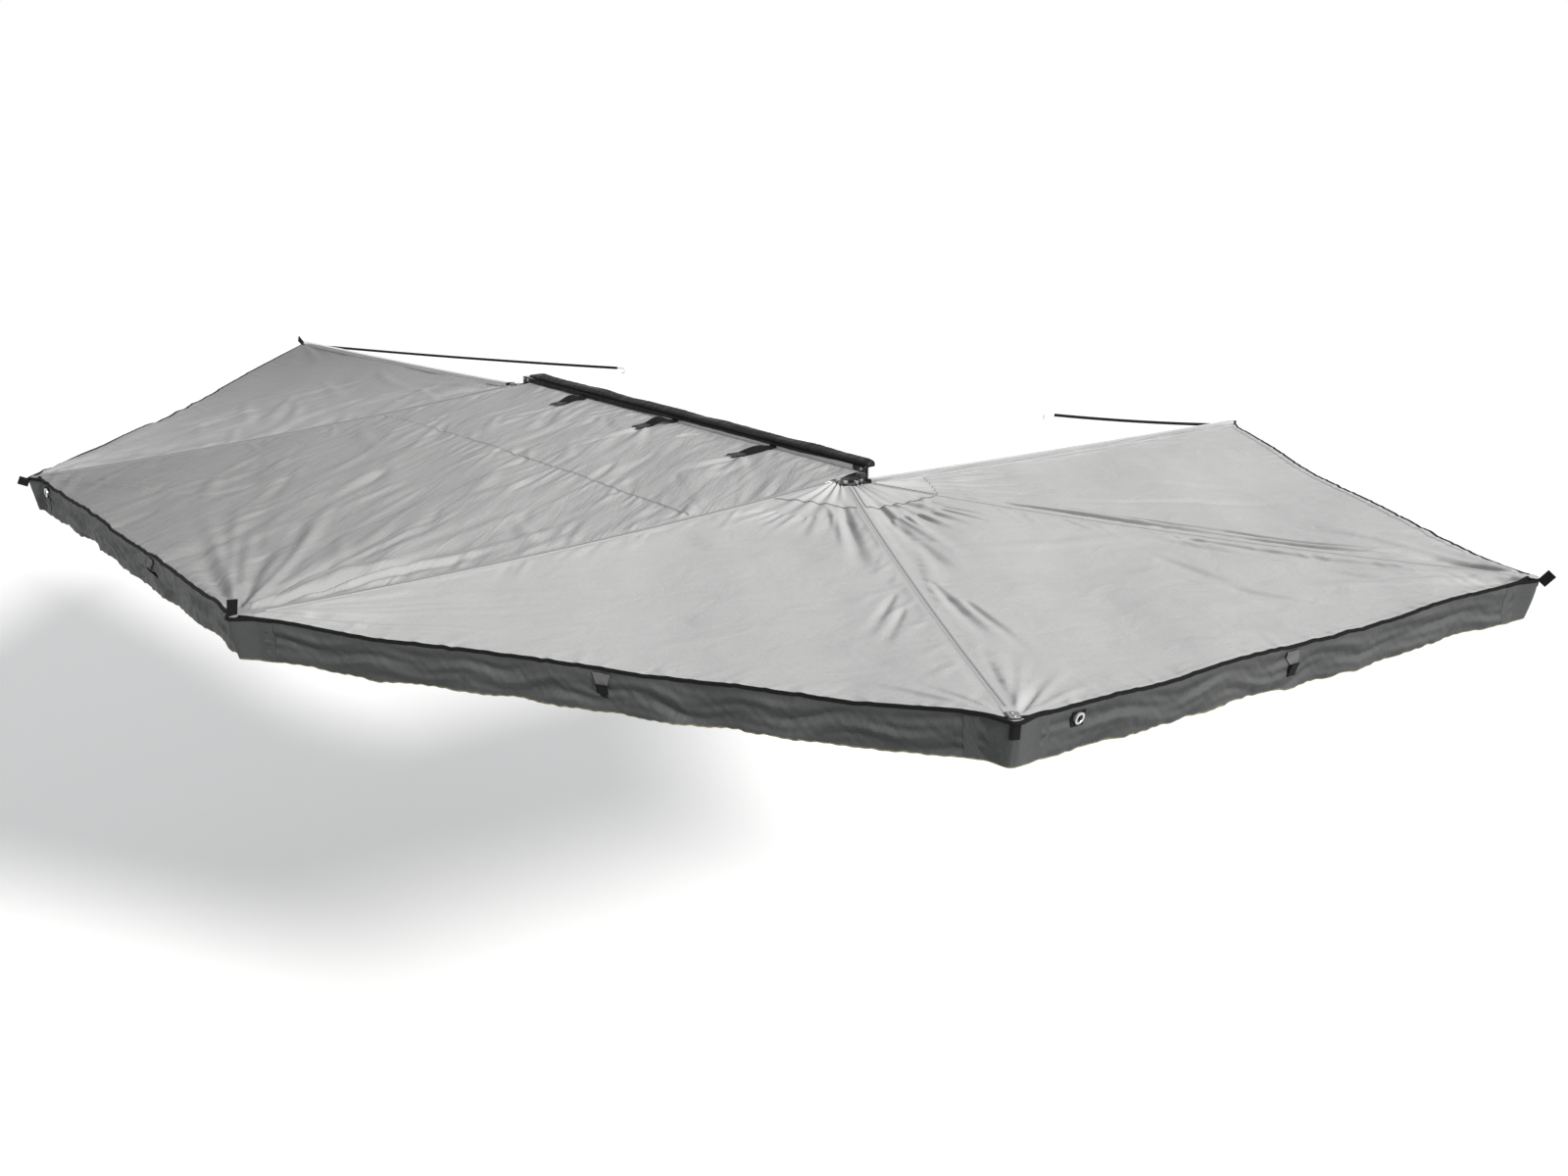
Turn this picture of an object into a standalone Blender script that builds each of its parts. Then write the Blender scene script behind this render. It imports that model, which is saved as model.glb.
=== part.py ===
"""Vehicle side awning, fully open: a rail, two hinges, six folding arms, a canopy and its valance.

Metres. +X runs along the vehicle towards its rear, -Y points away from the vehicle, +Z is up.
The origin is the centre of the rail's flat back face, which is the face that is mounted.
An arm's angle is 0 when it points straight out, -90 when it points forwards and 90 rearwards.
"""

from functools import partial
from math import cos, pi, radians, sin, tan

import bmesh
import bpy
from mathutils import Matrix, Vector
from mathutils.bvhtree import BVHTree

# Rail and hinges
HINGE_SPACING = 2.10
RAIL_FRONT_OVERHANG = 0.025
RAIL_REAR_SHORTFALL = 0.020
RAIL_HEIGHT = 0.080
RAIL_DEPTH = 0.016
RAIL_WALL = 0.004
FRONT_AXIS_OFFSET = 0.060
LANE_PITCH = 0.034
LANE_SPARE = 0.012
KEDER_DEPTH = 0.010
KEDER_HEIGHT = 0.026
KEDER_LIP = 0.005
KEDER_GROOVE = 0.005
FORK_BASE_WIDTH = 0.050
FORK_BASE_THICKNESS = 0.005

# Hinge knuckles
PIVOT_RADIUS = 0.004
EYE_RADIUS = 0.012
TONGUE_THICKNESS = 0.012
PLATE_THICKNESS = 0.007
POST_START = 0.017
SHOULDER_START = 0.031
SHOULDER_LENGTH = 0.005
POST_INSET = 0.002
BOLT_HEAD_RADIUS = 0.0075
BOLT_HEAD_HEIGHT = 0.0065
KNOB_RADIUS = 0.014
KNOB_HEIGHT = 0.018
KNOB_STEM_RADIUS = 0.0084
KNOB_STEM_HEIGHT = 0.006
KNOB_CROWN_RADIUS = 0.0112
KNOB_CROWN_HEIGHT = 0.0027

# Arms
ARM_LENGTH = 1.945
ARM_WIDTH = 0.022
ARM_HEIGHT = 0.030
ARM_WALL = 0.0018
TUBE_STEPS = 8
ARM_DROP = 0.067
LOADED_BOW = 0.020
EDGE_BOW = 0.004
ROOT_PLUG_LENGTH = 0.040
TIP_PLUG_LENGTH = 0.030
TIP_SETBACK = 0.010
CAP_THICKNESS = 0.004
LUG_LENGTH = 0.024
LUG_THICKNESS = 0.008
LUG_HEIGHT = 0.026
ARM_ANGLES = {"a": -89.5, "b": 6.5, "c": 0.5, "d": 61.0, "e": 117.0, "f": 184.0}

# Fabric
CLOTH = 0.0012
REST_MARGIN = 0.003
CORNER_INSET = 0.085
HUB_CLEARANCE = 0.090
EDGE_CURVE = 0.018
PANEL_SAG = 0.022
HEM_SAG = 0.020
PLEAT_DEPTH = 0.004
PLEAT_COUNT = 5
PLEAT_REACH = 0.45
VALANCE_DROP = 0.110
VALANCE_LEAN = 0.12
VALANCE_WAVE = 0.007
VALANCE_WAVE_LENGTH = 0.28

# Travel cover and its straps
COVER_WIDTH = 0.040
COVER_HEIGHT = 0.030
COVER_TAPER = 0.100
COVER_TIP_SHARE = 0.35
COVER_FLAT_SHARE = 0.35
COVER_BULGES = ((0.07, 0.43), (0.04, 0.25))
COVER_FRONT_SETBACK = 0.035
COVER_REAR_OVERHANG = 0.020
COVER_STRAP_INSET = 0.480
COVER_STRAP_LENGTH = 0.135
COVER_STRAP_WIDTH = 0.030
COVER_STRAP_THICKNESS = 0.0025
COVER_BUCKLE_LENGTH = 0.050
COVER_BUCKLE_WIDTH = 0.040
COVER_BUCKLE_THICKNESS = 0.010
COVER_BUCKLE_END_SHARE = 0.8

# Tips and tension straps
TAB_LENGTH = 0.055
TAB_WIDTH = 0.028
TAB_THICKNESS = 0.003
TAB_TILTS = {"b": 25.0, "c": 90.0, "d": -80.0, "e": 50.0}
CAM_LENGTH = 0.030
CAM_THICKNESS = 0.010
CAM_HEIGHT = 0.022
STRAP_RADIUS = 0.003
STRAP_SAG = 0.006
HOOK_WIRE_RADIUS = 0.0025
HOOK_BEND_RADIUS = 0.010
HOOK_SHANK = 0.028
HOOK_LIP = 0.008
STRAP_ANCHORS = {"a": (-0.16, 0.51, 0.0), "f": (-0.40, 1.21, 0.0)}

# Mounting brackets
BRACKET_INSET = 0.35
BRACKET_WIDTH = 0.060
BRACKET_THICKNESS = 0.004
BRACKET_FOOT_LENGTH = 0.070
BRACKET_RISE = 0.066
FOOT_SLOT_WIDTH = 0.009
FOOT_SLOT_LENGTH = 0.030
MOUNT_BOLT_RADIUS = 0.004
MOUNT_HEAD_RADIUS = 0.0065
MOUNT_HEAD_HEIGHT = 0.0055

# Clearances
SEAT_GAP = 0.0003
CLOTH_GAP = 0.0008
OVERLAP = 0.001

RAIL_FRONT = -HINGE_SPACING / 2 - RAIL_FRONT_OVERHANG
RAIL_REAR = HINGE_SPACING / 2 - RAIL_REAR_SHORTFALL
RAIL_TOP = RAIL_HEIGHT / 2
BRACKET_X = HINGE_SPACING / 2 - BRACKET_INSET
COVER_STRAP_X = HINGE_SPACING / 2 - COVER_STRAP_INSET
KEDER_BACK = -RAIL_DEPTH - SEAT_GAP
KEDER_FRONT = KEDER_BACK - KEDER_DEPTH
FORK_FACE = -RAIL_DEPTH - SEAT_GAP - FORK_BASE_THICKNESS
FRONT_AXIS_Y = -FRONT_AXIS_OFFSET
REAR_AXIS_Y = FRONT_AXIS_Y - 2 * LANE_PITCH - LANE_SPARE
TUBE_START = SHOULDER_START + SHOULDER_LENGTH + SEAT_GAP
TUBE_END = ARM_LENGTH - TIP_SETBACK
PLUG_CLEARANCE = ARM_WALL + SEAT_GAP
PLATE_LOW = TONGUE_THICKNESS / 2 + SEAT_GAP
PLATE_HIGH = PLATE_LOW + PLATE_THICKNESS
HEAD_LOW = PLATE_HIGH + SEAT_GAP
HEAD_HIGH = HEAD_LOW + BOLT_HEAD_HEIGHT
CASE_EDGE_Y = KEDER_FRONT - SEAT_GAP
CASE_EDGE_HEIGHT = RAIL_TOP - KEDER_HEIGHT + KEDER_LIP + KEDER_GROOVE / 2
REST_WIDTH = ARM_WIDTH / 2 + REST_MARGIN
UPRIGHT = Vector((0, 0, 1))


def clear_scene():
    for old in list(bpy.data.objects):
        bpy.data.objects.remove(old, do_unlink=True)


def material(name, colour, roughness, metallic=0.0):
    made = bpy.data.materials.new(name)
    made.use_nodes = True
    shader = made.node_tree.nodes["Principled BSDF"]
    shader.inputs["Base Color"].default_value = (*colour, 1)
    shader.inputs["Roughness"].default_value = roughness
    shader.inputs["Metallic"].default_value = metallic
    return made


def mesh_object(name, points, faces, finish=None, parent=None, smooth=False):
    """One mesh object with its faces turned outwards."""
    mesh = bpy.data.meshes.new(name)
    mesh.from_pydata([tuple(point) for point in points], [], faces)
    shape = bmesh.new()
    shape.from_mesh(mesh)
    bmesh.ops.recalc_face_normals(shape, faces=shape.faces)
    shape.to_mesh(mesh)
    shape.free()
    if smooth:
        mesh.shade_smooth()
        mesh.set_sharp_from_angle(angle=radians(40))
    made = bpy.data.objects.new(name, mesh)
    bpy.context.scene.collection.objects.link(made)
    made.parent = parent
    if finish:
        mesh.materials.append(finish)
    return made


def prism(outline, low, high, place=None):
    """Points and faces of a closed prism: a flat outline raised from low to high along Z."""
    place = place or Matrix.Identity(4)
    count = len(outline)
    points = [place @ Vector((x, y, z)) for z in (low, high) for x, y in outline]
    sides = [(i, (i + 1) % count, (i + 1) % count + count, i + count) for i in range(count)]
    return points, [tuple(reversed(range(count))), tuple(range(count, 2 * count)), *sides]


def loft(rings, closed_ends=True):
    """Points and faces of a skin over equal rings of points."""
    count = len(rings[0])
    points = [point for ring in rings for point in ring]
    faces = [
        (k * count + i, k * count + (i + 1) % count, (k + 1) * count + (i + 1) % count, (k + 1) * count + i)
        for k in range(len(rings) - 1)
        for i in range(count)
    ]
    if closed_ends:
        last = (len(rings) - 1) * count
        faces += [tuple(reversed(range(count))), tuple(range(last, last + count))]
    return points, faces


def circle(radius, centre=(0, 0), sides=20):
    turns = [2 * pi * i / sides for i in range(sides)]
    return [(centre[0] + radius * cos(turn), centre[1] + radius * sin(turn)) for turn in turns]


def box_outline(x_low, x_high, y_low, y_high):
    return [(x_low, y_low), (x_high, y_low), (x_high, y_high), (x_low, y_high)]


def hull(points):
    """The convex outline round flat points, anticlockwise."""
    ordered = sorted(set(points))

    def half(walk):
        chain = []
        for point in walk:
            while len(chain) > 1:
                (ax, ay), (bx, by) = chain[-2:]
                if (bx - ax) * (point[1] - ay) - (by - ay) * (point[0] - ax) > 1e-12:
                    break
                chain.pop()
            chain.append(point)
        return chain[:-1]

    return half(ordered) + half(reversed(ordered))


def helper(name, shape, parent=None):
    """A solid that a Boolean adds or cuts, left out of the render."""
    made = mesh_object(name, *shape, parent=parent)
    made.hide_render = True
    made.display_type = "WIRE"
    return made


def combine(target, operation, shapes, parent=None):
    """Boolean modifiers on the target, one for each shape."""
    for shape in shapes:
        index = len(target.modifiers) + 1
        modifier = target.modifiers.new(f"{operation.lower()}_{index}", "BOOLEAN")
        modifier.operation = operation
        modifier.solver = "EXACT"
        modifier.object = helper(f"{target.name}_shape_{index}", shape, parent)


def empty(name, parent=None, place=None):
    made = bpy.data.objects.new(name, None)
    bpy.context.scene.collection.objects.link(made)
    made.empty_display_size = 0.05
    made.parent = parent
    made.matrix_local = place or Matrix.Identity(4)
    return made


def sideways(x=0.0, y=0.0, z=0.0):
    """Turns a prism's height onto Y, for holes and bolts that lie across the rail."""
    return Matrix.Translation((x, y, z)) @ Matrix.Rotation(radians(-90), 4, "X")


class Arm:
    """One arm: where it turns, which way it points, and which side its neighbour's pivot is on."""

    def __init__(self, letter, pivot, side, bow, parent):
        self.letter = letter
        self.angle = radians(ARM_ANGLES[letter])
        self.pivot = pivot
        self.side = side
        self.bow = bow
        self.along = Vector((sin(self.angle), -cos(self.angle), 0))
        self.across = Vector((cos(self.angle), sin(self.angle), 0))
        turn = Matrix.Rotation(self.angle - pi / 2, 4, "Z")
        world = Matrix.Translation(pivot) @ turn
        parent_world = parent.world if parent else Matrix.Identity(4)
        self.world = world
        holder = parent.joint if parent else None
        self.joint = empty(f"axis_{letter}", holder, parent_world.inverted() @ world)

    def next_pivot(self):
        return self.pivot + self.side * LANE_PITCH * self.across

    def centre(self, reach):
        """Height of the arm's middle at this distance from its pivot, along the tube's straight steps."""
        place = TUBE_STEPS * (reach - TUBE_START) / (TUBE_END - TUBE_START)
        step = min(max(int(place), 0), TUBE_STEPS - 1)
        low, high = (self.bowed((step + k) / TUBE_STEPS) for k in (0, 1))
        return low + (high - low) * (place - step)

    def section(self, reach, width, height):
        """A rectangle round the arm's line, in the arm's own frame."""
        middle = self.centre(reach)
        corners = ((-1, -1), (1, -1), (1, 1), (-1, 1))
        return [Vector((reach, j * width / 2, middle + k * height / 2)) for j, k in corners]

    def bowed(self, tube_share):
        share = (TUBE_START + (TUBE_END - TUBE_START) * tube_share) / ARM_LENGTH
        return -ARM_DROP * share - 4 * self.bow * share * (1 - share)

    def point(self, reach, aside=0.0, above=0.0):
        rise = self.centre(reach) + above
        return self.pivot + reach * self.along + aside * self.across + rise * UPRIGHT

    def top(self, reach, aside=0.0):
        """Where cloth lies on the arm, seen as the cloth's upper face."""
        return self.point(reach, aside, ARM_HEIGHT / 2 + CLOTH_GAP + CLOTH)


def make_arms():
    front = Vector((-HINGE_SPACING / 2, FRONT_AXIS_Y, 0))
    rear = Vector((HINGE_SPACING / 2, REAR_AXIS_Y, 0))
    b = Arm("b", front, -1, LOADED_BOW, None)
    a = Arm("a", b.next_pivot(), 0, EDGE_BOW, b)
    c = Arm("c", rear, 1, LOADED_BOW, None)
    d = Arm("d", c.next_pivot(), 1, LOADED_BOW, c)
    e = Arm("e", d.next_pivot(), 1, LOADED_BOW, d)
    f = Arm("f", e.next_pivot(), 0, EDGE_BOW, e)
    return {arm.letter: arm for arm in (a, b, c, d, e, f)}


def bar(arm, start, end, width, height):
    """A solid rectangular bar along the arm's line, in the arm's own frame."""
    return loft([arm.section(x, width, height) for x in (start, end)])


def make_tube(arm, finish):
    """A hollow rectangular tube, open at both ends."""
    stations = [TUBE_START + (TUBE_END - TUBE_START) * k / TUBE_STEPS for k in range(TUBE_STEPS + 1)]
    walls = []
    for inset in (0, ARM_WALL):
        width, height = ARM_WIDTH - 2 * inset, ARM_HEIGHT - 2 * inset
        walls.append(loft([arm.section(x, width, height) for x in stations], closed_ends=False))
    (points, faces), (inner_points, inner_faces) = walls
    shift = len(points)
    faces += [tuple(index + shift for index in reversed(face)) for face in inner_faces]
    points += inner_points
    for start in (0, 4 * TUBE_STEPS):
        ring = [(start + i, start + (i + 1) % 4) for i in range(4)]
        faces += [(near, far, shift + far, shift + near) for near, far in ring]
    return mesh_object(f"arm_tube_{arm.letter}", points, faces, finish, arm.joint)


def make_knuckle(arm, finish):
    """Tongue, shoulder and plug, with the two fork plates that hold the next arm's tongue."""
    eye = circle(EYE_RADIUS)
    half = ARM_WIDTH / 2
    tongue = hull([*eye, (SHOULDER_START + OVERLAP, -half), (SHOULDER_START + OVERLAP, half)])
    knuckle = mesh_object(
        f"knuckle_{arm.letter}",
        *prism(tongue, -TONGUE_THICKNESS / 2, TONGUE_THICKNESS / 2),
        finish,
        arm.joint,
    )
    shoulder_end = SHOULDER_START + SHOULDER_LENGTH
    plug_end = shoulder_end + ROOT_PLUG_LENGTH
    plug_width = ARM_WIDTH - 2 * PLUG_CLEARANCE
    plug_height = ARM_HEIGHT - 2 * PLUG_CLEARANCE
    parts = [
        bar(arm, SHOULDER_START, shoulder_end, ARM_WIDTH, ARM_HEIGHT),
        bar(arm, shoulder_end - OVERLAP, plug_end, plug_width, plug_height),
    ]
    holes = [prism(circle(PIVOT_RADIUS + SEAT_GAP), -PLATE_LOW, PLATE_LOW)]
    if arm.side:
        post_end = SHOULDER_START + OVERLAP
        post = box_outline(POST_START, post_end, POST_INSET, half)
        plate = hull([*post, *circle(EYE_RADIUS, (0, LANE_PITCH))])
        post = [(x, arm.side * y) for x, y in post]
        plate = [(x, arm.side * y) for x, y in plate]
        parts += [
            prism(post, -PLATE_HIGH + OVERLAP, PLATE_HIGH - OVERLAP),
            prism(plate, PLATE_LOW, PLATE_HIGH),
            prism(plate, -PLATE_HIGH, -PLATE_LOW),
        ]
        next_eye = circle(PIVOT_RADIUS + SEAT_GAP, (0, arm.side * LANE_PITCH))
        holes.append(prism(next_eye, -PLATE_HIGH - OVERLAP, PLATE_HIGH + OVERLAP))
    combine(knuckle, "UNION", parts, arm.joint)
    combine(knuckle, "DIFFERENCE", holes, arm.joint)
    return knuckle


def make_tip(arm, finish):
    """The fitting that closes the tube's outer end, with an upright lug for webbing."""
    cap_start = TUBE_END + SEAT_GAP
    cap_end = cap_start + CAP_THICKNESS
    plug = bar(
        arm,
        TUBE_END - TIP_PLUG_LENGTH,
        cap_start + OVERLAP,
        ARM_WIDTH - 2 * PLUG_CLEARANCE,
        ARM_HEIGHT - 2 * PLUG_CLEARANCE,
    )
    tip = mesh_object(f"tip_fitting_{arm.letter}", *plug, finish, arm.joint)
    lug_end = cap_end + LUG_LENGTH
    combine(
        tip,
        "UNION",
        [
            bar(arm, cap_start, cap_end, ARM_WIDTH, ARM_HEIGHT),
            bar(arm, cap_end - OVERLAP, lug_end, LUG_THICKNESS, LUG_HEIGHT),
        ],
        arm.joint,
    )
    return lug_end


def make_tab(arm, lug_end, finish):
    """A flat webbing tab that stands off the tip in the arm's own upright plane."""
    tilt = radians(TAB_TILTS[arm.letter])
    start = lug_end + SEAT_GAP + abs(sin(tilt)) * TAB_WIDTH / 2
    place = (
        Matrix.Translation((start, TAB_THICKNESS / 2, arm.centre(lug_end)))
        @ Matrix.Rotation(-tilt, 4, "Y")
        @ Matrix.Rotation(radians(90), 4, "X")
    )
    tab = prism(box_outline(0, TAB_LENGTH, -TAB_WIDTH / 2, TAB_WIDTH / 2), 0, TAB_THICKNESS, place)
    return mesh_object(f"corner_tab_{arm.letter}", *tab, finish, arm.joint)


def make_pivot_bolt(letter, place, parent, finish):
    """A bolt and its nut through a fork and a tongue."""
    shank = prism(circle(PIVOT_RADIUS), -HEAD_HIGH + OVERLAP, HEAD_HIGH - OVERLAP, place)
    bolt = mesh_object(f"pivot_bolt_{letter}", *shank, finish, parent)
    ends = [
        prism(circle(BOLT_HEAD_RADIUS, sides=16), HEAD_LOW, HEAD_HIGH, place),
        prism(circle(BOLT_HEAD_RADIUS, sides=6), -HEAD_HIGH, -HEAD_LOW, place),
    ]
    combine(bolt, "UNION", ends, parent)
    return bolt


def make_clamp_knob(arm, finish):
    """The round hand knob on top of the last arm's pivot bolt."""
    low = HEAD_HIGH + SEAT_GAP
    high = low + KNOB_HEIGHT
    levels = (
        (KNOB_STEM_RADIUS, low),
        (KNOB_STEM_RADIUS, low + KNOB_STEM_HEIGHT),
        (KNOB_RADIUS, low + KNOB_STEM_HEIGHT),
        (KNOB_RADIUS, high - KNOB_CROWN_HEIGHT),
        (KNOB_CROWN_RADIUS, high),
    )
    rings = [[Vector((x, y, z)) for x, y in circle(radius, sides=24)] for radius, z in levels]
    place = Matrix.Translation((0, arm.side * LANE_PITCH, 0))
    points, faces = loft(rings)
    return mesh_object("clamp_knob", [place @ point for point in points], faces, finish, arm.joint)


def make_fork(name, arm, base_low, base_high, root, finish):
    """A steel hinge fork: a base plate on the rail and two plates that hold the first tongue."""
    base_place = sideways(0, FORK_FACE, 0)
    base = box_outline(base_low, base_high, -RAIL_HEIGHT / 2, RAIL_HEIGHT / 2)
    fork = mesh_object(name, *prism(base, 0, FORK_BASE_THICKNESS, base_place), finish, root)
    rim = FORK_FACE + OVERLAP
    axis = (arm.pivot.x, arm.pivot.y)
    plate = hull([(base_low, rim), (base_high, rim), *circle(EYE_RADIUS, axis)])
    plates = [prism(plate, PLATE_LOW, PLATE_HIGH), prism(plate, -PLATE_HIGH, -PLATE_LOW)]
    combine(fork, "UNION", plates, root)
    hole = prism(circle(PIVOT_RADIUS + SEAT_GAP, axis), -PLATE_HIGH - OVERLAP, PLATE_HIGH + OVERLAP)
    combine(fork, "DIFFERENCE", [hole], root)
    return fork


def along_x(outline, low, high):
    """Points and faces of a prism whose outline lies in the YZ plane."""
    count = len(outline)
    points = [Vector((x, y, z)) for x in (low, high) for y, z in outline]
    sides = [(i, (i + 1) % count, (i + 1) % count + count, i + count) for i in range(count)]
    return points, [tuple(reversed(range(count))), tuple(range(count, 2 * count)), *sides]


def make_rail(root, finish):
    """The channel that the hinges are bolted to, open outwards."""
    wall = RAIL_WALL
    outline = [
        (0, -RAIL_TOP),
        (0, RAIL_TOP),
        (-RAIL_DEPTH, RAIL_TOP),
        (-RAIL_DEPTH, RAIL_TOP - wall),
        (-wall, RAIL_TOP - wall),
        (-wall, -RAIL_TOP + wall),
        (-RAIL_DEPTH, -RAIL_TOP + wall),
        (-RAIL_DEPTH, -RAIL_TOP),
    ]
    rail = mesh_object("mounting_rail", *along_x(outline, RAIL_FRONT, RAIL_REAR), finish, root)
    holes = [
        prism(circle(MOUNT_BOLT_RADIUS + SEAT_GAP), -2 * wall, wall, sideways(side * BRACKET_X))
        for side in (-1, 1)
    ]
    combine(rail, "DIFFERENCE", holes, root)
    return rail


def make_keder_rail(root, finish):
    """The strip that grips the canopy's edge bead, between the two hinge forks."""
    low = RAIL_TOP - KEDER_HEIGHT
    groove_low = low + KEDER_LIP
    groove_high = groove_low + KEDER_GROOVE
    outline = [
        (KEDER_BACK, low),
        (KEDER_BACK, RAIL_TOP),
        (KEDER_FRONT, RAIL_TOP),
        (KEDER_FRONT, groove_high),
        (KEDER_FRONT + KEDER_GROOVE, groove_high),
        (KEDER_FRONT + KEDER_GROOVE, groove_low),
        (KEDER_FRONT, groove_low),
        (KEDER_FRONT, low),
    ]
    front = -HINGE_SPACING / 2 + FORK_BASE_WIDTH / 2 + SEAT_GAP
    rear = RAIL_REAR - FORK_BASE_WIDTH - SEAT_GAP
    return mesh_object("keder_rail", *along_x(outline, front, rear), finish, root)


def make_bracket(name, x, root, finish):
    """An L bracket whose foot lies on a crossbar, with a slot for the crossbar's bolt."""
    low = -RAIL_TOP
    thick = BRACKET_THICKNESS
    outline = [
        (SEAT_GAP, low),
        (BRACKET_FOOT_LENGTH, low),
        (BRACKET_FOOT_LENGTH, low + thick),
        (SEAT_GAP + thick, low + thick),
        (SEAT_GAP + thick, low + BRACKET_RISE),
        (SEAT_GAP, low + BRACKET_RISE),
    ]
    half = BRACKET_WIDTH / 2
    bracket = mesh_object(name, *along_x(outline, x - half, x + half), finish, root)
    slot_middle = (SEAT_GAP + thick + BRACKET_FOOT_LENGTH) / 2
    run = (FOOT_SLOT_LENGTH - FOOT_SLOT_WIDTH) / 2
    ends = [circle(FOOT_SLOT_WIDTH / 2, (x, slot_middle + side * run)) for side in (-1, 1)]
    cuts = [
        prism(hull(ends[0] + ends[1]), low - thick, low + 2 * thick),
        prism(circle(MOUNT_BOLT_RADIUS + SEAT_GAP), -thick, 2 * thick, sideways(x)),
    ]
    combine(bracket, "DIFFERENCE", cuts, root)
    return bracket


def make_mount_bolt(name, x, root, finish):
    """The bolt that holds a bracket to the rail, its head inside the channel."""
    head_face = -RAIL_WALL - SEAT_GAP
    nut_face = SEAT_GAP + BRACKET_THICKNESS + SEAT_GAP
    start = head_face - MOUNT_HEAD_HEIGHT
    end = nut_face + MOUNT_HEAD_HEIGHT
    shank = prism(circle(MOUNT_BOLT_RADIUS), start + OVERLAP, end, sideways(x))
    bolt = mesh_object(name, *shank, finish, root)
    ends = [
        prism(circle(MOUNT_HEAD_RADIUS, sides=6), start, head_face, sideways(x)),
        prism(circle(MOUNT_HEAD_RADIUS, sides=6), nut_face, end - OVERLAP, sideways(x)),
    ]
    combine(bolt, "UNION", ends, root)
    return bolt


def make_cover(root, finish):
    """The travel cover, folded flat along the rail's top, with soft bulges and a tapered front end."""
    front = RAIL_FRONT + COVER_FRONT_SETBACK
    rear = RAIL_REAR + COVER_REAR_OVERHANG
    bottom = RAIL_TOP + SEAT_GAP
    middle_y = KEDER_FRONT + COVER_WIDTH / 2
    steps, sides = 26, 14
    rings = []
    for k in range(steps + 1):
        run = (rear - front) * k / steps
        taper = min(1.0, COVER_TIP_SHARE + (1 - COVER_TIP_SHARE) * run / COVER_TAPER)
        swell = 1 + sum(rise * sin(2 * pi * run / length) for rise, length in COVER_BULGES)
        height = COVER_HEIGHT * taper * swell
        ring = []
        for i in range(sides):
            turn = 2 * pi * i / sides
            y = middle_y + COVER_WIDTH / 2 * taper * cos(turn)
            rise = max(0.0, COVER_FLAT_SHARE + (1 - COVER_FLAT_SHARE) * sin(turn))
            ring.append(Vector((front + run, y, bottom + height * rise)))
        rings.append(ring)
    return mesh_object("travel_cover", *loft(rings), finish, root, smooth=True)


def sheet(name, rows, back, finish, root):
    """A thin closed sheet: rows of points on one face, and the other face moved by back.

    Both faces are split along the same diagonals, so the sheet is equally thick everywhere.
    """
    count = len(rows[0])
    front = [point for row in rows for point in row]
    points = front + [point + back for point in front]
    shift = len(front)
    faces = []
    for k in range(len(rows) - 1):
        for i in range(count - 1):
            near, far = k * count + i, (k + 1) * count + i
            for half in ((near, near + 1, far + 1), (near, far + 1, far)):
                faces += [half, tuple(index + shift for index in reversed(half))]
    rim = list(range(count))
    rim += [k * count + count - 1 for k in range(1, len(rows))]
    rim += [(len(rows) - 1) * count + i for i in range(count - 2, -1, -1)]
    rim += [k * count for k in range(len(rows) - 2, 0, -1)]
    for start, end in zip(rim, rim[1:] + rim[:1]):
        faces.append((start, end, end + shift, start + shift))
    return mesh_object(name, points, faces, finish, root, smooth=True)


def cloth_on(arm, reach, aside):
    """Cloth on top of a shared arm, or at half the height of the first or last arm."""
    if arm.side:
        return arm.top(reach, aside)
    return arm.point(reach, aside, CLOTH / 2)


def sewn_edge(arm, reach, inner_side):
    """A panel's own edge: along the middle of a shared arm, or beside the first or last one."""
    aside = SEAT_GAP if arm.side else ARM_WIDTH / 2 + CLOTH_GAP
    return cloth_on(arm, reach, inner_side * aside)


def fan_point(first, second, share, reach_share):
    """A point of the free cloth between two arms of one hinge.

    share runs from the first arm to the second, reach_share from the hub to the outer edge.
    """
    spread = second.angle - first.angle
    angle = first.angle + share * spread
    straight = cos(spread / 2) / cos(spread * (share - 0.5))
    belly = 4 * share * (1 - share)
    outer = ARM_LENGTH * straight * (1 - EDGE_CURVE * belly)
    reach = HUB_CLEARANCE + (outer - HUB_CLEARANCE) * reach_share
    heights = [cloth_on(arm, reach, 0).z for arm in (first, second)]
    height = heights[0] + (heights[1] - heights[0]) * share
    near_hub = max(0.0, 1 - (reach - HUB_CLEARANCE) / PLEAT_REACH)
    height += PLEAT_DEPTH * near_hub * belly * sin(2 * pi * PLEAT_COUNT * share)
    height -= PANEL_SAG * belly * reach_share
    along = Vector((sin(angle), -cos(angle), 0))
    across = Vector((cos(angle), sin(angle), 0))
    pivot = first.pivot.lerp(second.pivot, share)
    return pivot + reach * along + REST_WIDTH * (1 - 2 * share) * across + height * UPRIGHT


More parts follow.
